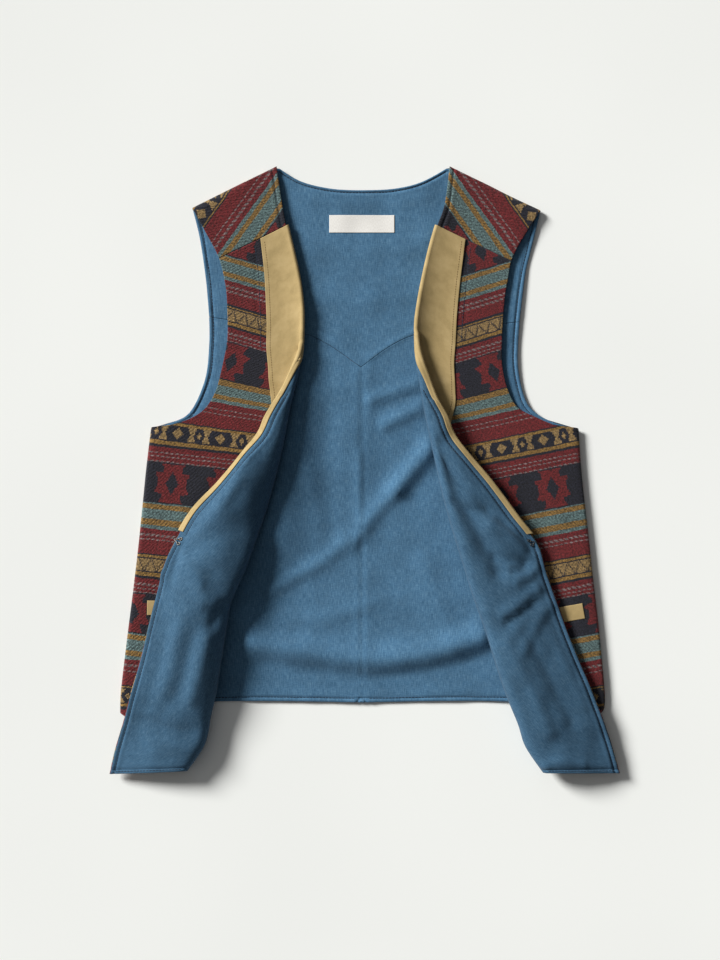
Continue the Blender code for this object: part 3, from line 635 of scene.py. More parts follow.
def front_marks(run, features, flap):
    """Lengths along a section where its columns lie: lip, flat, rise, fold to crest, flap, and hem."""
    start, fold, top = features
    end = run.length
    low, high = SMALL_FLAP_STOPS
    fold = fold * flap + (start + (end - start) * low) * (1 - flap)
    top = top * flap + (start + (end - start) * high) * (1 - flap)
    last = end - EDGE_MARKS[0]
    top = min(top, last - (last - start) * LAST_STOPS[1])
    fold = min(fold, top - (last - start) * LAST_STOPS[0])
    stops = (FOLD_ARC, start, fold, top, last)
    marks = [FOLD_ARC * share for share in LIP_SHARES]
    for a, b, n in zip(stops, stops[1:], FRONT_CELLS):
        marks += [a + (b - a) * i / n for i in range(n)]
    marks += [end - inset for inset in EDGE_MARKS]
    marks += [end - LAPEL_WRAP * (1 - share) for share in HEM_SHARES]
    return np.array([*marks, end])


def unit(vectors):
    return vectors / np.maximum(np.linalg.norm(vectors, axis=-1, keepdims=True), 1e-9)


def front_surface(side, ks):
    """Seam surface of one front as grids: place with and without creases, normal, way across, length from the
    side, length to the edge, share of being on the flap, and place in the unrolled pattern."""
    places, lengths, flaps, patterns, starts = [], [], [], [], []
    for row in front_rows(side, ks):
        run, features, flap = front_section(row)
        marks = front_marks(run, features, flap)
        places.append(run.at(marks))
        lengths.append(marks)
        starts.append(features[0])
        flaps.append(smoothstep(marks, features[1], features[1] + FLAP_FADE) * flap)
        along = unit(row["fold"] - row["side"])
        patterns.append(row["side"] + along * marks[:, None])
    place, length = np.array(places), np.array(lengths)
    flap, pattern = np.array(flaps), np.array(patterns)
    across = unit(np.gradient(place, axis=1))
    upward = unit(np.gradient(place, axis=0))
    normal = unit(np.cross(across, upward)) * (1 if side == "left" else -1)
    flat = length < np.array(starts)[:, None]
    folded, lip_normal = fold_over(place[flat], front=True)
    place[flat], normal[flat] = folded, lip_normal
    plan = place.reshape(-1, 3)[:, :2]
    on_flap = relief(plan, CREASES[f"{side}_flap"]).reshape(flap.shape) * flap
    on_body = relief(plan, CREASES[f"{side}_body"]).reshape(flap.shape) * (1 - flap)
    to_edge = length[:, -1:] - length
    to_hem = np.pad(np.cumsum(np.linalg.norm(np.diff(place, axis=0), axis=-1), axis=0), ((1, 0), (0, 0)))
    from_edge = to_edge - strip_width(ks)[:, None]
    beside_strip = edge_seam(from_edge, FLAP_STITCH) * smoothstep(from_edge, -1, 1)
    shown = flap * smoothstep(-np.asarray(ks, float), *FLAP_SEAM_FADE)[:, None]
    seams = (beside_strip + edge_seam(to_hem, HEM_STITCH)) * shown
    loose = ripple(plan, *FLAP_RIPPLE).reshape(flap.shape) * flap
    on_yoke = smoothstep(np.asarray(ks, float), YOKE_ROW - 0.1, YOKE_ROW + 0.1)[:, None] * (1 - flap)
    neck = edge_seam(to_edge, YOKE_STITCH) * on_yoke
    away = smoothstep(length, FOLD_ARC, FOLD_ARC + LIP_FADE)
    height = (-(on_flap + seams + loose) + on_body + neck) * away
    return {
        "smooth": place,
        "place": place + normal * height[..., None],
        "normal": normal,
        "across": across,
        "length": length,
        "to_edge": to_edge,
        "flap": flap,
        "pattern": pattern,
        "rows": np.asarray(ks),
    }


def part_of(surface, first, last):
    """The rows of a surface from one position to another."""
    inside = (surface["rows"] >= first - 1e-6) & (surface["rows"] <= last + 1e-6)
    return {name: grid[inside] for name, grid in surface.items()}


def rounded(middle, thickness, square):
    """Share of the full thickness at each grid point, falling off at the rims as a quarter circle, except at
    the ends of the rows that are named square."""
    across = np.linalg.norm(np.diff(middle, axis=1), axis=-1)
    along = np.linalg.norm(np.diff(middle, axis=0), axis=-1)
    from_left = np.pad(np.cumsum(across, axis=1), ((0, 0), (1, 0)))
    from_low = np.pad(np.cumsum(along, axis=0), ((1, 0), (0, 0)))
    from_rim = {"first": from_left, "last": from_left[:, -1:] - from_left}
    ends = [distance for name, distance in from_rim.items() if name != square]
    nearest = np.minimum.reduce([*ends, from_low, from_low[-1:] - from_low])
    t = np.clip(nearest / (thickness / 2), 0, 1)
    return np.maximum(np.sqrt(1 - (1 - t) ** 2), THIN_RIM)


def placed(name, data):
    """An object in the scene that shows some data."""
    made = bpy.data.objects.new(name, data)
    bpy.context.scene.collection.objects.link(made)
    return made


def mesh_object(name, points, faces, flat, look):
    """A smooth mesh from points in metres. flat holds the cloth's own coordinates of each point."""
    mesh = bpy.data.meshes.new(name)
    mesh.from_pydata(points, [], faces)
    layer = mesh.uv_layers.new(name="cloth")
    loops = np.zeros(len(mesh.loops), dtype=np.int64)
    mesh.loops.foreach_get("vertex_index", loops)
    layer.uv.foreach_set("vector", flat[loops].ravel())
    mesh.shade_smooth()
    mesh.materials.append(look)
    return placed(name, mesh)


def sheet_mesh(name, inner, outer, cloth, look, square=None):
    """Closes two grids of points into one thin solid with rounded rims. cloth holds its flat coordinates."""
    rows, columns = inner.shape[:2]
    middle = (inner + outer) / 2
    full = rounded(middle, float(np.median(np.linalg.norm(outer - inner, axis=-1))), square)[..., None]
    inner, outer = middle + (inner - middle) * full, middle + (outer - middle) * full
    points = np.concatenate([outer.reshape(-1, 3), inner.reshape(-1, 3)])
    index = np.arange(rows * columns).reshape(rows, columns)
    cells = np.stack([index[:-1, :-1], index[:-1, 1:], index[1:, 1:], index[1:, :-1]], axis=-1).reshape(-1, 4)
    rim = np.concatenate([index[0, :], index[1:, -1], index[-1, -2::-1], index[-2:0:-1, 0]])
    after = np.roll(rim, -1)
    count = rows * columns
    band = np.stack([rim, rim + count, after + count, after], axis=-1)
    faces = np.concatenate([cells, cells[:, ::-1] + count, band])
    if signed_volume(points, faces) < 0:
        faces = faces[:, ::-1]
    flat = np.concatenate([cloth.reshape(-1, 2)] * 2) * MM
    return mesh_object(name, metres(points), faces.tolist(), flat, look)


def signed_volume(points, faces):
    a, b, c, d = (points[faces[:, i]] for i in range(4))
    return float((np.cross(b - a, c - a) * (d + a)).sum())


def layers(surface, low, high):
    """Two grids of points, moved out from a seam surface."""
    return surface["place"] + surface["normal"] * low, surface["place"] + surface["normal"] * high


def stripe_coordinates(side, pattern):
    """Along and across the stripes of a front, in mm, with the chart's repeat counted from the armhole."""
    facts = STRIPES[side]
    sign = 1 if side == "left" else -1
    x, y = pattern[..., 0], pattern[..., 1]
    low, high = (math.tan(math.radians(a)) for a in facts["slope"])
    slope = low + (high - low) * smoothstep(y, *SLOPE_CHANGE)
    level = facts["start"] - (y + sign * slope * (x - facts["at"]))
    level = np.where(level < 0, level / UPPER_REPEAT, level)
    warp = sign * x - slope * (y + STAR_TURN) - facts["star"]
    return np.stack([warp, level], axis=-1)


def yoke_coordinates(side, pattern):
    """The same on the yoke, which is cut so that its stripes run aslant from the shoulder tip."""
    sign = 1 if side == "left" else -1
    slant = math.radians(YOKE_SLANT)
    offset = (pattern - np.array(YOKE_TIP[side])) * [sign, 1]
    down = offset[..., 0] * math.sin(slant) - offset[..., 1] * math.cos(slant)
    along = offset[..., 0] * math.cos(slant) + offset[..., 1] * math.sin(slant)
    return np.stack([along, YOKE_START * UNIT - down], axis=-1)


class Number:
    """A number that a material works out. The signs of arithmetic stand for its nodes."""

    def __init__(self, look, socket):
        self.look, self.socket = look, socket

    def __add__(self, other):
        return self.look.math("ADD", self, other)

    def __sub__(self, other):
        return self.look.math("SUBTRACT", self, other)

    def __rsub__(self, other):
        return self.look.math("SUBTRACT", other, self)

    def __mul__(self, other):
        return self.look.math("MULTIPLY", self, other)

    def __truediv__(self, other):
        return self.look.math("DIVIDE", self, other)

    def __lt__(self, limit):
        return self.look.math("LESS_THAN", self, limit)

    def __abs__(self):
        return self.look.math("ABSOLUTE", self)


class Look:
    """A node material built up from short calls."""

    def __init__(self, name, roughness, **constants):
        self.material = bpy.data.materials.new(name)
        self.material.use_nodes = True
        self.tree = self.material.node_tree
        self.shader = self.tree.nodes["Principled BSDF"]
        self.shader.inputs["Roughness"].default_value = roughness
        for socket, value in constants.items():
            self.shader.inputs[socket.replace("_", " ")].default_value = value
        uv = self.tree.nodes.new("ShaderNodeUVMap")
        uv.uv_map = "cloth"
        self.uv = self.scaled(uv.outputs["UV"], (1 / MM,) * 3)
        axes = self.tree.nodes.new("ShaderNodeSeparateXYZ")
        self.tree.links.new(self.uv, axes.inputs[0])
        self.u, self.v = (Number(self, axes.outputs[name]) for name in "XY")

    def feed(self, socket, value):
        value = value.socket if isinstance(value, Number) else value
        if isinstance(value, bpy.types.NodeSocket):
            self.tree.links.new(value, socket)
        else:
            socket.default_value = value

    def scaled(self, vector, factors):
        node = self.tree.nodes.new("ShaderNodeVectorMath")
        node.operation = "MULTIPLY"
        self.feed(node.inputs[0], vector)
        node.inputs[1].default_value = factors
        return node.outputs[0]

    def math(self, operation, *values):
        node = self.tree.nodes.new("ShaderNodeMath")
        node.operation = operation
        for socket, value in zip(node.inputs, values):
            self.feed(socket, value)
        return Number(self, node.outputs[0])

    def either(self, *masks):
        out = masks[0]
        for mask in masks[1:]:
            out = self.math("MAXIMUM", out, mask)
        return out

    def wrapped(self, value, pitch):
        """Distance to the nearest of many middles that stand a pitch apart."""
        return abs(self.math("WRAP", value, pitch / 2, -pitch / 2))

    def noise(self, size, stretch=(1, 1, 1), detail=2, roughness=0.5):
        """Soft noise in the cloth's own coordinates, with features of about the given size in mm."""
        node = self.tree.nodes.new("ShaderNodeTexNoise")
        self.feed(node.inputs["Vector"], self.scaled(self.uv, stretch))
        node.inputs["Scale"].default_value = 1 / size
        node.inputs["Detail"].default_value = detail
        node.inputs["Roughness"].default_value = roughness
        return Number(self, node.outputs["Fac"])

    def mix(self, factor, a, b, blend="MIX"):
        node = self.tree.nodes.new("ShaderNodeMix")
        node.data_type = "RGBA"
        node.blend_type = blend
        self.feed(node.inputs[0], factor)
        for socket, value in zip(node.inputs[6:8], (a, b)):
            self.feed(socket, value if isinstance(value, bpy.types.NodeSocket) else (*value, 1))
        return node.outputs[2]

    def ramp(self, value, stops, constant=False):
        """Colours at values from 0 to 1."""
        node = self.tree.nodes.new("ShaderNodeValToRGB")
        node.color_ramp.interpolation = "CONSTANT" if constant else "LINEAR"
        elements = node.color_ramp.elements
        for _ in stops[2:]:
            elements.new(0.5)
        for element, (position, colour) in zip(elements, stops):
            element.position = position
            element.color = (*colour, 1)
        self.feed(node.inputs[0], value)
        return node.outputs["Color"]

    def greys(self, value, stops):
        """Plain shares of the light at values from 0 to 1."""
        return self.ramp(value, [(at, (share,) * 3) for at, share in stops])

    def shaded(self, base, value, *stops):
        """A colour made darker or lighter where a value says so."""
        return self.mix(1, base, self.greys(value, stops), "MULTIPLY")

    def finish(self, colour, height, distance, strength=1.0):
        """Sets the colour, and a bump from a height of 0 to 1 that spans a distance in mm."""
        self.feed(self.shader.inputs["Base Color"], colour)
        bump = self.tree.nodes.new("ShaderNodeBump")
        bump.inputs["Distance"].default_value = distance * MM
        bump.inputs["Strength"].default_value = strength
        self.feed(bump.inputs["Height"], height)
        self.tree.links.new(bump.outputs[0], self.shader.inputs["Normal"])
        return self.material


def wool_look():
    """Striped blanket wool: bands, stepped stars, diamonds and zigzags, all on a grid of threads."""
    look = Look("striped_wool", 0.95, Sheen_Weight=0.12, Sheen_Roughness=0.7, Specular_IOR_Level=0.12)
    colours = {name: srgb(*values) for name, values in PALETTE.items()}
    fibre = look.noise(0.9, detail=3, roughness=0.75)
    wander = (look.noise(11) - 0.5) * 2.4 + (fibre - 0.5) * 2.6
    u, v = (look.math("SNAP", way + wander, THREAD) for way in (look.u, look.v))
    count = v / (REPEAT * UNIT)
    part = look.math("FRACT", count)
    chart = part * REPEAT
    other = look.math("FRACT", count * 0.5) < 0.5
    plain = 1 - other
    base = look.ramp(part, [(at / REPEAT, colours[name]) for at, name in BANDS], constant=True)

    # Dashes: the grey lines are broken up by threads of red
    dash = look.math("FRACT", (look.u + look.v) / DASH_PITCH) < DASH_SHARE
    in_red = look.either(*(abs(chart - middle) < half for middle, half in DASHED))
    base = look.mix(dash * in_red * 0.85, base, colours["red"])

    # Stars, which stand half a pitch over in every second band
    across = look.wrapped(u + plain * (STAR_PITCH / 2), STAR_PITCH)
    upright = abs((chart - STAR_MIDDLE) * UNIT)
    p, q = across / STAR_SIZE[0], upright / STAR_SIZE[1]
    star = (p - look.greys(q, STAR_SHAPE) < 0) * (q < 1)
    base = look.mix(star, base, colours["red"])
    heart = across / STAR_HEART[0] + upright / STAR_HEART[1] < 1
    base = look.mix(heart, base, colours["navy"])

    # Narrow motif band: diamonds between waisted bars, and a zigzag in every second band
    rise = chart / MOTIF_END
    q = abs(rise * 2 - 1)
    in_band = chart < MOTIF_END
    a = look.wrapped(u, DIAMOND_PITCH)
    diamond = a / DIAMOND[0] + q < DIAMOND[1]
    bar = abs(a - BAR_PLACE) - q * BAR[1] < BAR[0]
    small = (SMALL_PLACE - a) / SMALL_DIAMOND[0] + q < SMALL_DIAMOND[1]
    base = look.mix(in_band * look.either(diamond, bar, small) * other, base, colours["tan"])
    tooth = look.math("PINGPONG", u, ZIGZAG_PITCH / 2) / (ZIGZAG_PITCH / 2)
    zigzag = look.mix((abs(tooth - rise) < ZIGZAG_LINE) * 0.8, colours["tan"], colours["navy"])
    base = look.mix(in_band * plain, base, zigzag)

    # Twill lines, threads and nap
    slant = look.math("PINGPONG", look.u + look.v + look.noise(5, detail=3) * 7, TWILL_PITCH / 2)
    clear = abs(chart - TWILLED[0]) < TWILLED[1]
    base = look.mix((slant < 0.8) * (clear * 0.3 + 0.05), base, colours["navy"])
    coarse = look.noise(2.4, detail=4, roughness=0.75)
    base = look.shaded(base, coarse, (0.36, 0.3), (0.5, 0.84), (0.64, 1.5))
    base = look.shaded(base, fibre, (0.25, 0.7), (0.75, 1.25))
    base = look.shaded(base, look.noise(38, detail=4), (0.3, 0.86), (0.7, 1.1))
    return look.finish(base, slant * 0.12 + coarse * 1.2 + fibre * 0.3, 1.3)


def denim_look(name, painted_shade_factor):
    """Washed blue twill with slubs and a soft nap. painted_shade_factor: share of the light that the cloth
    keeps; below 1 it darkens the cloth as painted shade.
    """
    look = Look(name, 0.9, Sheen_Weight=0.08, Specular_IOR_Level=0.18)
    warp = look.noise(0.9, (1, 0.1, 1), detail=3, roughness=0.6)
    weft = look.noise(0.9, (0.16, 1, 1), detail=2, roughness=0.6)
    nap = look.noise(0.7, detail=3, roughness=0.7)
    thread = warp * 0.42 + weft * 0.24 + nap * 0.34
    base = look.ramp(thread, [(at, srgb(*colour)) for at, colour in DENIM_TONES])
    # painted shade: the large cloud's levels are scaled by painted_shade_factor, so the whole cloth darkens
    # below 1
    base = look.shaded(base, look.noise(55, detail=4, roughness=0.6), (0.3, 0.88 * painted_shade_factor), (0.7, 1.1 * painted_shade_factor))
    base = look.shaded(base, look.noise(9, detail=3, roughness=0.6), (0.3, 0.93), (0.7, 1.06))
    twill = look.math("PINGPONG", look.u + look.v, 0.7)
    return look.finish(base, thread * 1.2 + twill * 0.25, 0.2, 0.6)


def leather_look():
    """Pale suede with a fine grain and soft mottling."""
    look = Look("tan_suede", 0.8, Sheen_Weight=0.1, Specular_IOR_Level=0.3)
    cloud = look.noise(22, detail=4, roughness=0.6)
    grain = look.noise(0.9, detail=4, roughness=0.7)
    base = look.ramp(cloud, [(at, srgb(*colour)) for at, colour in LEATHER_TONES])
    base = look.shaded(base, grain, (0.3, 0.9), (0.7, 1.06))
    return look.finish(base, grain * 0.7 + cloud * 0.6, 0.25, 0.6)


def label_look():
    look = Look("woven_label", 0.6, Sheen_Weight=0.1)
    weave = look.noise(0.7, (1, 0.3, 1), detail=2)
    base = look.ramp(weave, [(0.3, srgb(222, 219, 214)), (0.7, srgb(240, 238, 234))])
    return look.finish(base, weave, 0.1, 0.5)


def thread_look(name, colour):
    look = Look(name, 0.75)
    twist = look.noise(0.6, detail=1)
    base = look.ramp(twist, [(0.3, tuple(c * 0.8 for c in srgb(*colour))), (0.7, srgb(*colour))])
    return look.finish(base, twist, 0.1, 0.4)


def metal_look():
    look = Look("black_enamel", 0.35, Metallic=0.8)
    # painted glints: random lighter grey spots on the black enamel stand in for highlights on the metal
    painted_glints = look.noise(1.2, detail=3)
    base = look.ramp(painted_glints, [(0.35, srgb(30, 30, 34)), (0.7, srgb(120, 116, 110))])
    return look.finish(base, painted_glints, 0.05, 0.3)


def floor_look():
    look = Look("paper", 0.9, Specular_IOR_Level=0.1)
    tone = look.noise(400, detail=1)
    base = look.ramp(tone, [(0.3, srgb(239, 241, 239)), (0.7, srgb(243, 245, 243))])
    return look.finish(base, tone, 0.1, 0.1)


def front_row_steps(first, last, extra=()):
    """Row positions with fine steps at both ends, for rounded rims."""
    inner = np.arange(first + RIM[-1] + 0.05, last - RIM[-1] - 0.05, ROW_STEP)
    return np.unique(np.concatenate([first + np.array(RIM), inner, last - np.array(RIM), extra]).round(5))


def lapel_widths(side, surface):
    """Width of leather along each row, so that its free edge is one smooth line in the plan."""
    table = np.array([row["lapel"] for row in front_rows(side, surface["rows"])])
    guide = []
    for row in front_rows(side, np.arange(ARMHOLE_ROW, YOKE_ROW + 1)):
        run, _, _ = front_section(row)
        guide.append(run.at(run.length - row["lapel"])[:2])
    guide = smooth_run([guide[0] * 2 - guide[1], *guide]).points
    inward = 1 if side == "left" else -1
    widths = table.copy()
    for i, k in enumerate(surface["rows"]):
        if k > ARMHOLE_ROW - 1:
            x, y = surface["place"][i][:, 0], surface["place"][i][:, 1]
            past = (x - np.interp(y, guide[:, 1], guide[:, 0])) * inward
            j = int(np.argmax(past > 0))
            share = past[j - 1] / (past[j - 1] - past[j])
            to_edge = surface["to_edge"][i]
            straight = to_edge[j - 1] + (to_edge[j] - to_edge[j - 1]) * share
            widths[i] += (straight - table[i]) * smoothstep(k, ARMHOLE_ROW - 1, ARMHOLE_ROW - 0.6)
    return widths


def inside_edge(inset, to_edge, values):
    """Points or vectors of one row at distances in from its free edge."""
    return read_off(inset, to_edge[::-1], values[::-1])


def make_lapel(side, surface, look):
    """Leather along the neck edge, which wraps round that edge on to the lining."""
    surface = part_of(surface, LAPEL_END_ROW, YOKE_ROW - SEAM_ROWS)
    middle = (LEATHER_ON_WOOL + LEATHER_ON_LINING) / 2
    radius = (LEATHER_ON_WOOL - LEATHER_ON_LINING) / 2
    hem = len(HEM_SHARES)
    angles = np.linspace(0, math.pi, 9)[1:, None]
    tail = slice(-2, -2 - hem, -1)
    grids, cloth = ([], []), []
    for i, width in enumerate(lapel_widths(side, surface)):
        place, normal, to_edge = surface["place"][i], surface["normal"][i], surface["to_edge"][i]
        near = LAPEL_WRAP + (width - LAPEL_WRAP) * np.linspace(1, 0, LAPEL_CELLS + 1)[1:-1]
        near = np.concatenate([[width], width - np.array(RIM_STEPS), near])
        at, off = inside_edge(near, to_edge, place), unit(inside_edge(near, to_edge, normal))
        ray = surface["across"][i][-1] * np.sin(angles) + normal[-1] * np.cos(angles)
        centre = np.vstack(
            [
                at + off * LEATHER_ON_WOOL,
                place[-1 - hem :] + normal[-1 - hem :] * LEATHER_ON_WOOL,
                place[-1] + normal[-1] * middle + ray * radius,
                place[tail] + normal[tail] * LEATHER_ON_LINING,
            ]
        )
        away = np.vstack([off, normal[-1 - hem :], ray, -normal[tail]])
        for grid, sign in zip(grids, (-1, 1)):
            grid.append(centre + away * sign * LEATHER / 2)
        length = Run(centre).marks
        cloth.append(np.column_stack([length, np.full(len(length), surface["pattern"][i][-1][1])]))
    inner, outer = (np.array(grid) for grid in grids)
    return sheet_mesh(f"leather_{side}", inner, outer, np.array(cloth), look)


def strip_width(ks):
    """Width of the leather that shows on the lining at each row."""
    return LEATHER_STRIP * smoothstep(np.asarray(ks, float), LAPEL_END_ROW - 0.3, LAPEL_END_ROW)


def pulled_in(surface, distance):
    """The same surface with its free edge a little further in."""
    drawn = {name: grid.copy() for name, grid in surface.items()}
    for i, to_edge in enumerate(surface["to_edge"]):
        near = np.maximum(to_edge, distance + to_edge * (1 - distance / LAPEL_WRAP))
        near[to_edge > LAPEL_WRAP] = to_edge[to_edge > LAPEL_WRAP]
        for name in ("place", "smooth", "normal", "pattern"):
            drawn[name][i] = inside_edge(near, to_edge, surface[name][i])
    return drawn


def make_front(side, looks):
    """Wool below the yoke, the yoke, the lining behind both, and the leather along the neck edge."""
    shell_rows = front_row_steps(0, YOKE_ROW - SEAM_ROWS, [*HEM_ROWS, *(LAPEL_END_ROW + np.array(RIM))])
    yoke_rows = front_row_steps(YOKE_ROW + SEAM_ROWS, LAST_ROW)
    surface = front_surface(side, np.concatenate([shell_rows, yoke_rows]))
    lower = part_of(surface, 0, YOKE_ROW - SEAM_ROWS)
    upper = part_of(surface, YOKE_ROW + SEAM_ROWS, LAST_ROW)
    inner = pulled_in(surface, LINING_SHY)
    stripes = stripe_coordinates(side, lower["pattern"])
    slanted = yoke_coordinates(side, upper["pattern"])
    wool, lining = (WOOL_IN, WOOL_OUT), (LINING_OUT, LINING_IN)
    made = []
    for name, node, sheet, faces, cloth, look in (
        ("front_wool", "front_shell", lower, wool, stripes, "wool"),
        ("yoke_wool", "front_yoke", upper, wool, slanted, "wool"),
        ("front_denim", "front_lining", inner, lining, inner["pattern"], "front_denim"),
    ):
        piece = sheet_mesh(f"{name}_{side}", *layers(sheet, *faces), cloth, looks[look])
        made.append((piece, node, "wool" if look == "wool" else "denim"))
    made.append((make_lapel(side, surface, looks["leather"]), "leather_lapel", "leather"))
    for piece, node, slot in made:
        keep(piece, f"{node}_{side}")
    return surface


def keep(piece, node):
    """The piece rides on the vest's body, and stands for a node if one is named."""
    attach(piece, "root")
    if node:
        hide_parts(node)


def top_border():
    first, second = TOP_CORNERS
    return chain((BACK["left"]["shoulder"], first), (NECKLINE, second), (BACK["right"]["shoulder"][::-1], 1))


def back_layers(flat, low, high, creased):
    """Two grids of points on the back. Creases lift the lining and leave the wool flat on the table."""
    shape = flat.shape[:2]
    place, normal = fold_over(flat.reshape(-1, 2), front=False)
    if creased:
        place = place - normal * back_relief(flat.reshape(-1, 2))[:, None]
    place, normal = place.reshape(*shape, 3), normal.reshape(*shape, 3)
    return place + normal * low, place + normal * high


def armhole(side):
    return BACK[side]["armhole_low"] + BACK[side]["armhole_high"][1:]


def back_edges():
    """Edges of the back that are stitched along, each with how far in the stitches run."""
    edges = [(NECKLINE, NECK_STITCH), (HEM["left"], HEM_STITCH), (HEM["right"], HEM_STITCH)]
    edges += [(armhole(side), ARMHOLE_STITCH) for side in BACK]
    return [(smooth_run(line, 12).points, stitched) for line, stitched in edges]


BACK_EDGES = back_edges()


def uncovered(plan):
    """1 where the back's lining shows, falling to 0 a little way in under each front."""
    inside = []
    for side, sign in (("left", -1), ("right", 1)):
        folds = np.array([row[1] for row in FRONT_ROWS[side]])
        inside.append(sign * (np.interp(plan[:, 1], folds[:, 1], folds[:, 0]) - plan[:, 0]))
    return smoothstep(np.minimum(*inside), *COVER_FADE)


def back_relief(plan):
    height = relief(plan, CREASES["back"]) * uncovered(plan) + ripple(plan, *BACK_RIPPLE)
    for line, stitched in BACK_EDGES:
        _, _, gap = nearest_on(plan, line[:-1], line[1:])
        height += edge_seam(gap, stitched)
    return np.maximum(height + BACK_LOFT, LEAST_RELIEF)


def back_panel(name, node, slot, flat, look, square=None):
    """One sheet of the back over its flat pattern."""
    if slot == "wool":
        grids = back_layers(flat, WOOL_IN, WOOL_OUT, False)
        cloth = flat * [1, -1] + [0, STRIPES["left"]["start"]]
    else:
        grids, cloth = back_layers(flat, LINING_OUT, LINING_IN, True), flat
    keep(sheet_mesh(name, *grids, cloth, look, square), node)


def make_back(looks):
    """The back in wool, and its lining of a yoke with a western point above two halves."""
    sides = [chain((BACK[side]["side"], ARMHOLE_FOOT), (armhole(side), 1)) for side in BACK]
    hem, seam = (chain((line["left"], 0.5), (line["right"], 1)) for line in (HEM, YOKE_SEAM))
    across, up = SHELL_CELLS
    grid = shares(*across, LIP_RUN, LIP_RUN), shares(*up, RIM_RUN, LIP_RUN)
    back_panel("back_wool", "back_shell", "wool", coons(hem, top_border(), *sides, *grid), looks["wool"])

    half_gap = np.array([0, PLY_GAP / 2])

    def above_seam(side):
        run = chain((BACK[side]["armhole_high"], 1))
        return lambda v: run(v) + half_gap * (1 - np.atleast_1d(v))[:, None]

    across, up = YOKE_CELLS
    point = np.unique(np.concatenate([shares(*across, RIM_RUN, RIM_RUN), [0.5]]))
    grid = point, shares(*up, RIM_RUN, LIP_RUN)
    sides = [above_seam(side) for side in BACK]
    flat = coons(lambda u: seam(u) + half_gap, top_border(), *sides, *grid)
    back_panel("yoke_denim", "back_lining_yoke", "denim", flat, looks["denim"])

    across, up = HALF_CELLS
    for side, sign, inner, butted in (("left", -1, -1, "last"), ("right", 1, 0, "first")):
        shift = np.array([sign * BUTTED_GAP / 2, -PLY_GAP / 2])
        centre = chain(([HEM[side][inner], YOKE_SEAM[side][inner]], 1))
        outer = chain((BACK[side]["side"], LINING_ARMHOLE_FOOT), (BACK[side]["armhole_low"], 1))
        hem, top = chain((HEM[side], 1)), chain((YOKE_SEAM[side], 1))
        rims = (LIP_RUN, RIM_RUN)[:: -sign]

        def moved(border, shift=shift):
            return lambda v: border(v) + [shift[0], 0] + np.outer(np.atleast_1d(v), [0, shift[1]])

        flat = coons(
            lambda u, hem=hem, shift=shift: hem(u) + [shift[0], 0],
            lambda u, top=top, shift=shift: top(u) + shift,
            *(moved(border) for border in (outer, centre)[:: -sign]),
            shares(*across, *rims),
            shares(*up, RIM_RUN, RIM_RUN),
        )
        back_panel(f"back_denim_{side}", f"back_lining_{side}", "denim", flat, looks["denim"], butted)


def patch(name, start, along, up, size, height, thickness, look):
    """A flat oblong with rounded rims at one corner, lying at a height, or a height for each plan point."""
    s, t = (shares(n, span, RIM_RUN, RIM_RUN) * span for n, span in zip(PATCH_CELLS, size))
    plan = np.asarray(start) + s[None, :, None] * along + t[:, None, None] * up
    heights = height(plan.reshape(-1, 2)).reshape(plan.shape[:2]) if callable(height) else height
    bottom = np.dstack([plan, np.broadcast_to(heights, plan.shape[:2])])
    cloth = np.stack(np.broadcast_arrays(s[None, :], t[:, None]), axis=-1)
    return sheet_mesh(name, bottom, bottom + [0, 0, thickness], cloth, look)


def make_welt(side, look):
    corner, length, height, slope = WELTS[side]
    along = np.array([math.cos(math.radians(slope)), math.sin(math.radians(slope))])
    up = np.array([-along[1], along[0]]) * (1 if along[0] > 0 else -1)
    low = FRONT_LEVEL + WOOL_OUT + PLY_GAP
    piece = patch(f"welt_{side}", corner, along, up, (length, height), low, LEATHER, look)
    keep(piece, f"pocket_welt_{side}")


def on_the_lining(plan):
    """Height just above the back's lining."""
    return BACK_LEVEL - LINING_IN + PLY_GAP + back_relief(plan)


def make_label(look):
    corner = np.array(LABEL_CENTRE) - np.array(LABEL_SIZE) / 2
    across, up = np.array([1, 0]), np.array([0, 1])
    piece = patch("neck_label", corner, across, up, LABEL_SIZE, on_the_lining, LABEL_THICKNESS, look)
    keep(piece, "label")


def stitches(name, lines, look, length, gap, radius):
    """Short threads along lines of (points, normals), joined into one mesh."""
    corners = [(math.cos(a), math.sin(a) * STITCH_FLATNESS) for a in np.arange(4) * math.pi / 2]
    points, faces = [], []
    for line, normals in lines:
        run = Run(line)
        for middle in np.arange(gap + length / 2, run.length - length / 2, length + gap):
            centre = run.at(middle)
            way = unit(run.at(middle + length / 2) - run.at(middle - length / 2))
            up = unit(read_off(middle, run.marks, normals))
            across = np.cross(way, up)
            base = len(points)
            for share, size in STITCH_RINGS:
                for c, s in corners:
                    points.append(centre + way * share * length + (across * c + up * s) * radius * size)
            for a in range(base, base + 12):
                b = a + 1 if (a - base) % 4 < 3 else a - 3
                faces.append((a, b, b + 4, a + 4))
            faces.append((base + 3, base + 2, base + 1, base))
            faces.append((base + 12, base + 13, base + 14, base + 15))
    points = np.array(points)
    return mesh_object(name, metres(points), faces, points[:, :2] * MM, look)


def edge_line(surface, first, last, inset, offset):
    """A line on a front between two rows, at a distance, or a list of distances, in from its free edge."""
    rows = part_of(surface, first, last)
    line, normals = [], []
    for i, reach in enumerate(np.broadcast_to(inset, len(rows["rows"]))):
        at, off = (inside_edge(reach, rows["to_edge"][i], rows[name][i]) for name in ("place", "normal"))
        line.append(at + unit(off) * offset)
        normals.append(unit(off) * np.sign(offset))
    return np.array(line), np.array(normals)


def row_line(surface, k, to_side, to_edge, offset):
    """A line along one row of a front, between two distances in from its free edge."""
    i = int(np.argmin(np.abs(surface["rows"] - k)))
    inside = (surface["to_edge"][i] <= to_side) & (surface["to_edge"][i] >= to_edge)
    normals = surface["normal"][i][inside]
    return surface["place"][i][inside] + normals * offset, normals * np.sign(offset)


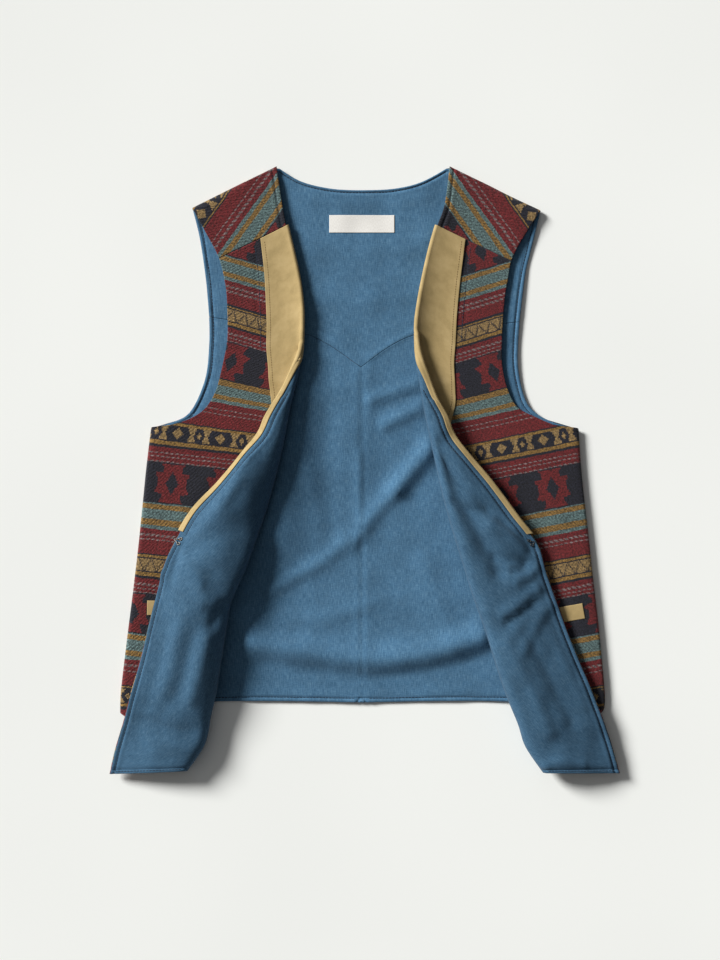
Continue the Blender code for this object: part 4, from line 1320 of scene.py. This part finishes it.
def back_line(plan):
    """A line on the back's lining through plan points."""
    height = BACK_LEVEL - LINING_IN + back_relief(plan) + STITCH_STAND["back"]
    return np.column_stack([plan, height]), np.tile([0.0, 0.0, 1.0], (len(plan), 1))


def beside(points, distance, cut):
    """The line that runs at a distance to the right of another, between two shares of its length."""
    run = smooth_run(points)
    line = run.at(np.linspace(*cut, 160) * run.length)
    along = unit(np.gradient(line, axis=0))
    return line + np.column_stack([along[:, 1], -along[:, 0]]) * distance


def make_stitching(surfaces, looks):
    """Threads, one mesh for each sheet that they are sewn into."""
    dark = looks["dark_thread"], *DARK_STITCH
    below_yoke, on_lining = YOKE_ROW - 0.1, LINING_IN - STITCH_STAND["lining"]
    on_leather = LEATHER_ON_WOOL + LEATHER / 2 + STITCH_STAND["leather"]
    for side, surface in surfaces.items():
        flap = surface, HEM_ROWS[2], FLAP_STITCH_END
        lapel, upper = (surface, ARMHOLE_ROW - 0.5, below_yoke), (surface, SEAM_LINE_ROW, below_yoke)
        inset = FLAP_STITCH + strip_width(part_of(*flap)["rows"])
        hem = row_line(surface, HEM_ROWS[2], HEM_STITCH_LENGTH, FLAP_STITCH, on_lining)
        lines = {
            "front": [edge_line(*flap, inset, on_lining), hem],
            "wool": [edge_line(*upper, lapel_widths(side, part_of(*upper)) + SEAM_LINE, WOOL_OUT)],
            "yoke": [edge_line(surface, YOKE_ROW + 0.05, LAST_ROW - 0.1, YOKE_STITCH, WOOL_OUT)],
        }
        for name, sewn in lines.items():
            keep(stitches(f"stitches_{name}_{side}", sewn, *dark), None)
        tan = [edge_line(*lapel, lapel_widths(side, part_of(*lapel)) - LEATHER_STITCH, on_leather)]
        keep(stitches(f"stitches_lapel_{side}", tan, looks["tan_thread"], *TAN_STITCH), None)
    lower = []
    for side, hand in (("left", 1), ("right", -1)):
        lower.append(back_line(beside(armhole(side), ARMHOLE_STITCH * hand, ARMHOLE_STITCHED)))
        lower.append(back_line(beside(HEM[side], -HEM_STITCH, HEM_STITCHED)))
    lower.append(back_line(beside(NECKLINE, NECK_STITCH, NECK_STITCHED)))
    keep(stitches("stitches_back", lower, *dark), None)


def clasp_points(side, surface):
    """Sewing rings and bill or loop of the clasp, as one line of points on the lining near the free edge."""
    rows = part_of(surface, CLASP_ROW - 0.4, CLASP_ROW + 0.4)
    middle = int(np.argmin(np.abs(rows["rows"] - CLASP_ROW)))
    out, to_edge = rows["across"][middle][-1], rows["to_edge"][middle]
    up = unit(rows["place"][-1][-1] - rows["place"][0][-1])
    under, normal = (inside_edge(CLASP_INSET, to_edge, rows[name][middle]) for name in ("place", "normal"))
    centre = under - unit(normal) * (CLASP_WIRE + 2 * PLY_GAP - LINING_IN)
    turns = np.radians(RING_TURNS)[:, None]
    ring, other = ((out * np.cos(turns) + up * hand * np.sin(turns)) * CLASP_RING for hand in (1, -1))
    loop = [centre + out * (share * CLASP_REACH[side]) + up * offset for share, offset in CLASP_LOOP]
    return np.vstack([(centre - up * RING_OFFSET + other)[::-1], loop, centre + up * RING_OFFSET + ring])


def make_clasp(name, node, side, surface, look):
    points = metres(clasp_points(side, surface))
    curve = bpy.data.curves.new(name, "CURVE")
    curve.dimensions = "3D"
    curve.bevel_depth = CLASP_WIRE * MM
    curve.bevel_resolution = 3
    curve.use_fill_caps = True
    spline = curve.splines.new("NURBS")
    spline.points.add(len(points) - 1)
    for target, point in zip(spline.points, points):
        target.co = (*point, 1)
    spline.use_endpoint_u = True
    spline.order_u = 3
    curve.materials.append(look)
    keep(placed(name, curve), node)


def add_floor(look):
    corners = np.array([(-1, -1, 0), (1, -1, 0), (1, 1, 0), (-1, 1, 0)]) * FLOOR_SIZE
    floor = mesh_object("floor", corners, [(0, 1, 2, 3)], corners[:, :2], look)


def add_camera():
    camera = bpy.data.cameras.new("camera")
    camera.sensor_fit = "VERTICAL"
    camera.sensor_height = SENSOR
    camera.lens = SENSOR * CAMERA_HEIGHT / PHOTO_LENGTH
    made = placed("camera", camera)
    made.location = metres([*CAMERA_AIM, CAMERA_HEIGHT])
    bpy.context.scene.camera = made


def add_light():
    for name, (comes_from, spread, strength) in LIGHTS.items():
        light = bpy.data.lights.new(name, "SUN")
        light.angle = math.radians(spread)
        light.energy = strength
        light.color = srgb(*LIGHT_COLOUR)
        placed(name, light).rotation_euler = (-Vector(comes_from)).to_track_quat("-Z", "Y").to_euler()
    world = bpy.data.worlds.new("room")
    world.use_nodes = True
    background = world.node_tree.nodes["Background"]
    background.inputs["Color"].default_value = (*srgb(*ROOM_COLOUR), 1)
    background.inputs["Strength"].default_value = ROOM
    bpy.context.scene.world = world
    bpy.context.scene.view_settings.view_transform = "Standard"


add_camera()
add_light()
looks = {
    "wool": wool_look(),
    "denim": denim_look("washed_denim", 1.0),
    # painted shade: the fronts' lining is the same denim darkened to 0.68, standing in for the shading of the
    # raised fronts
    "front_denim": denim_look("front_denim", 0.68),
    "leather": leather_look(),
    "label": label_look(),
    "dark_thread": thread_look("navy_thread", DARK_THREAD),
    "tan_thread": thread_look("tan_thread", TAN_THREAD),
    "metal": metal_look(),
}
add_floor(floor_look())
make_back(looks)
surfaces = {}
for wing, clasp, node in (("left", "hook_wire", "hook"), ("right", "eye_wire", "eye")):
    surfaces[wing] = make_front(wing, looks)
    make_welt(wing, looks["leather"])
    make_clasp(clasp, node, wing, surfaces[wing], looks["metal"])
make_label(looks["label"])
make_stitching(surfaces, looks)
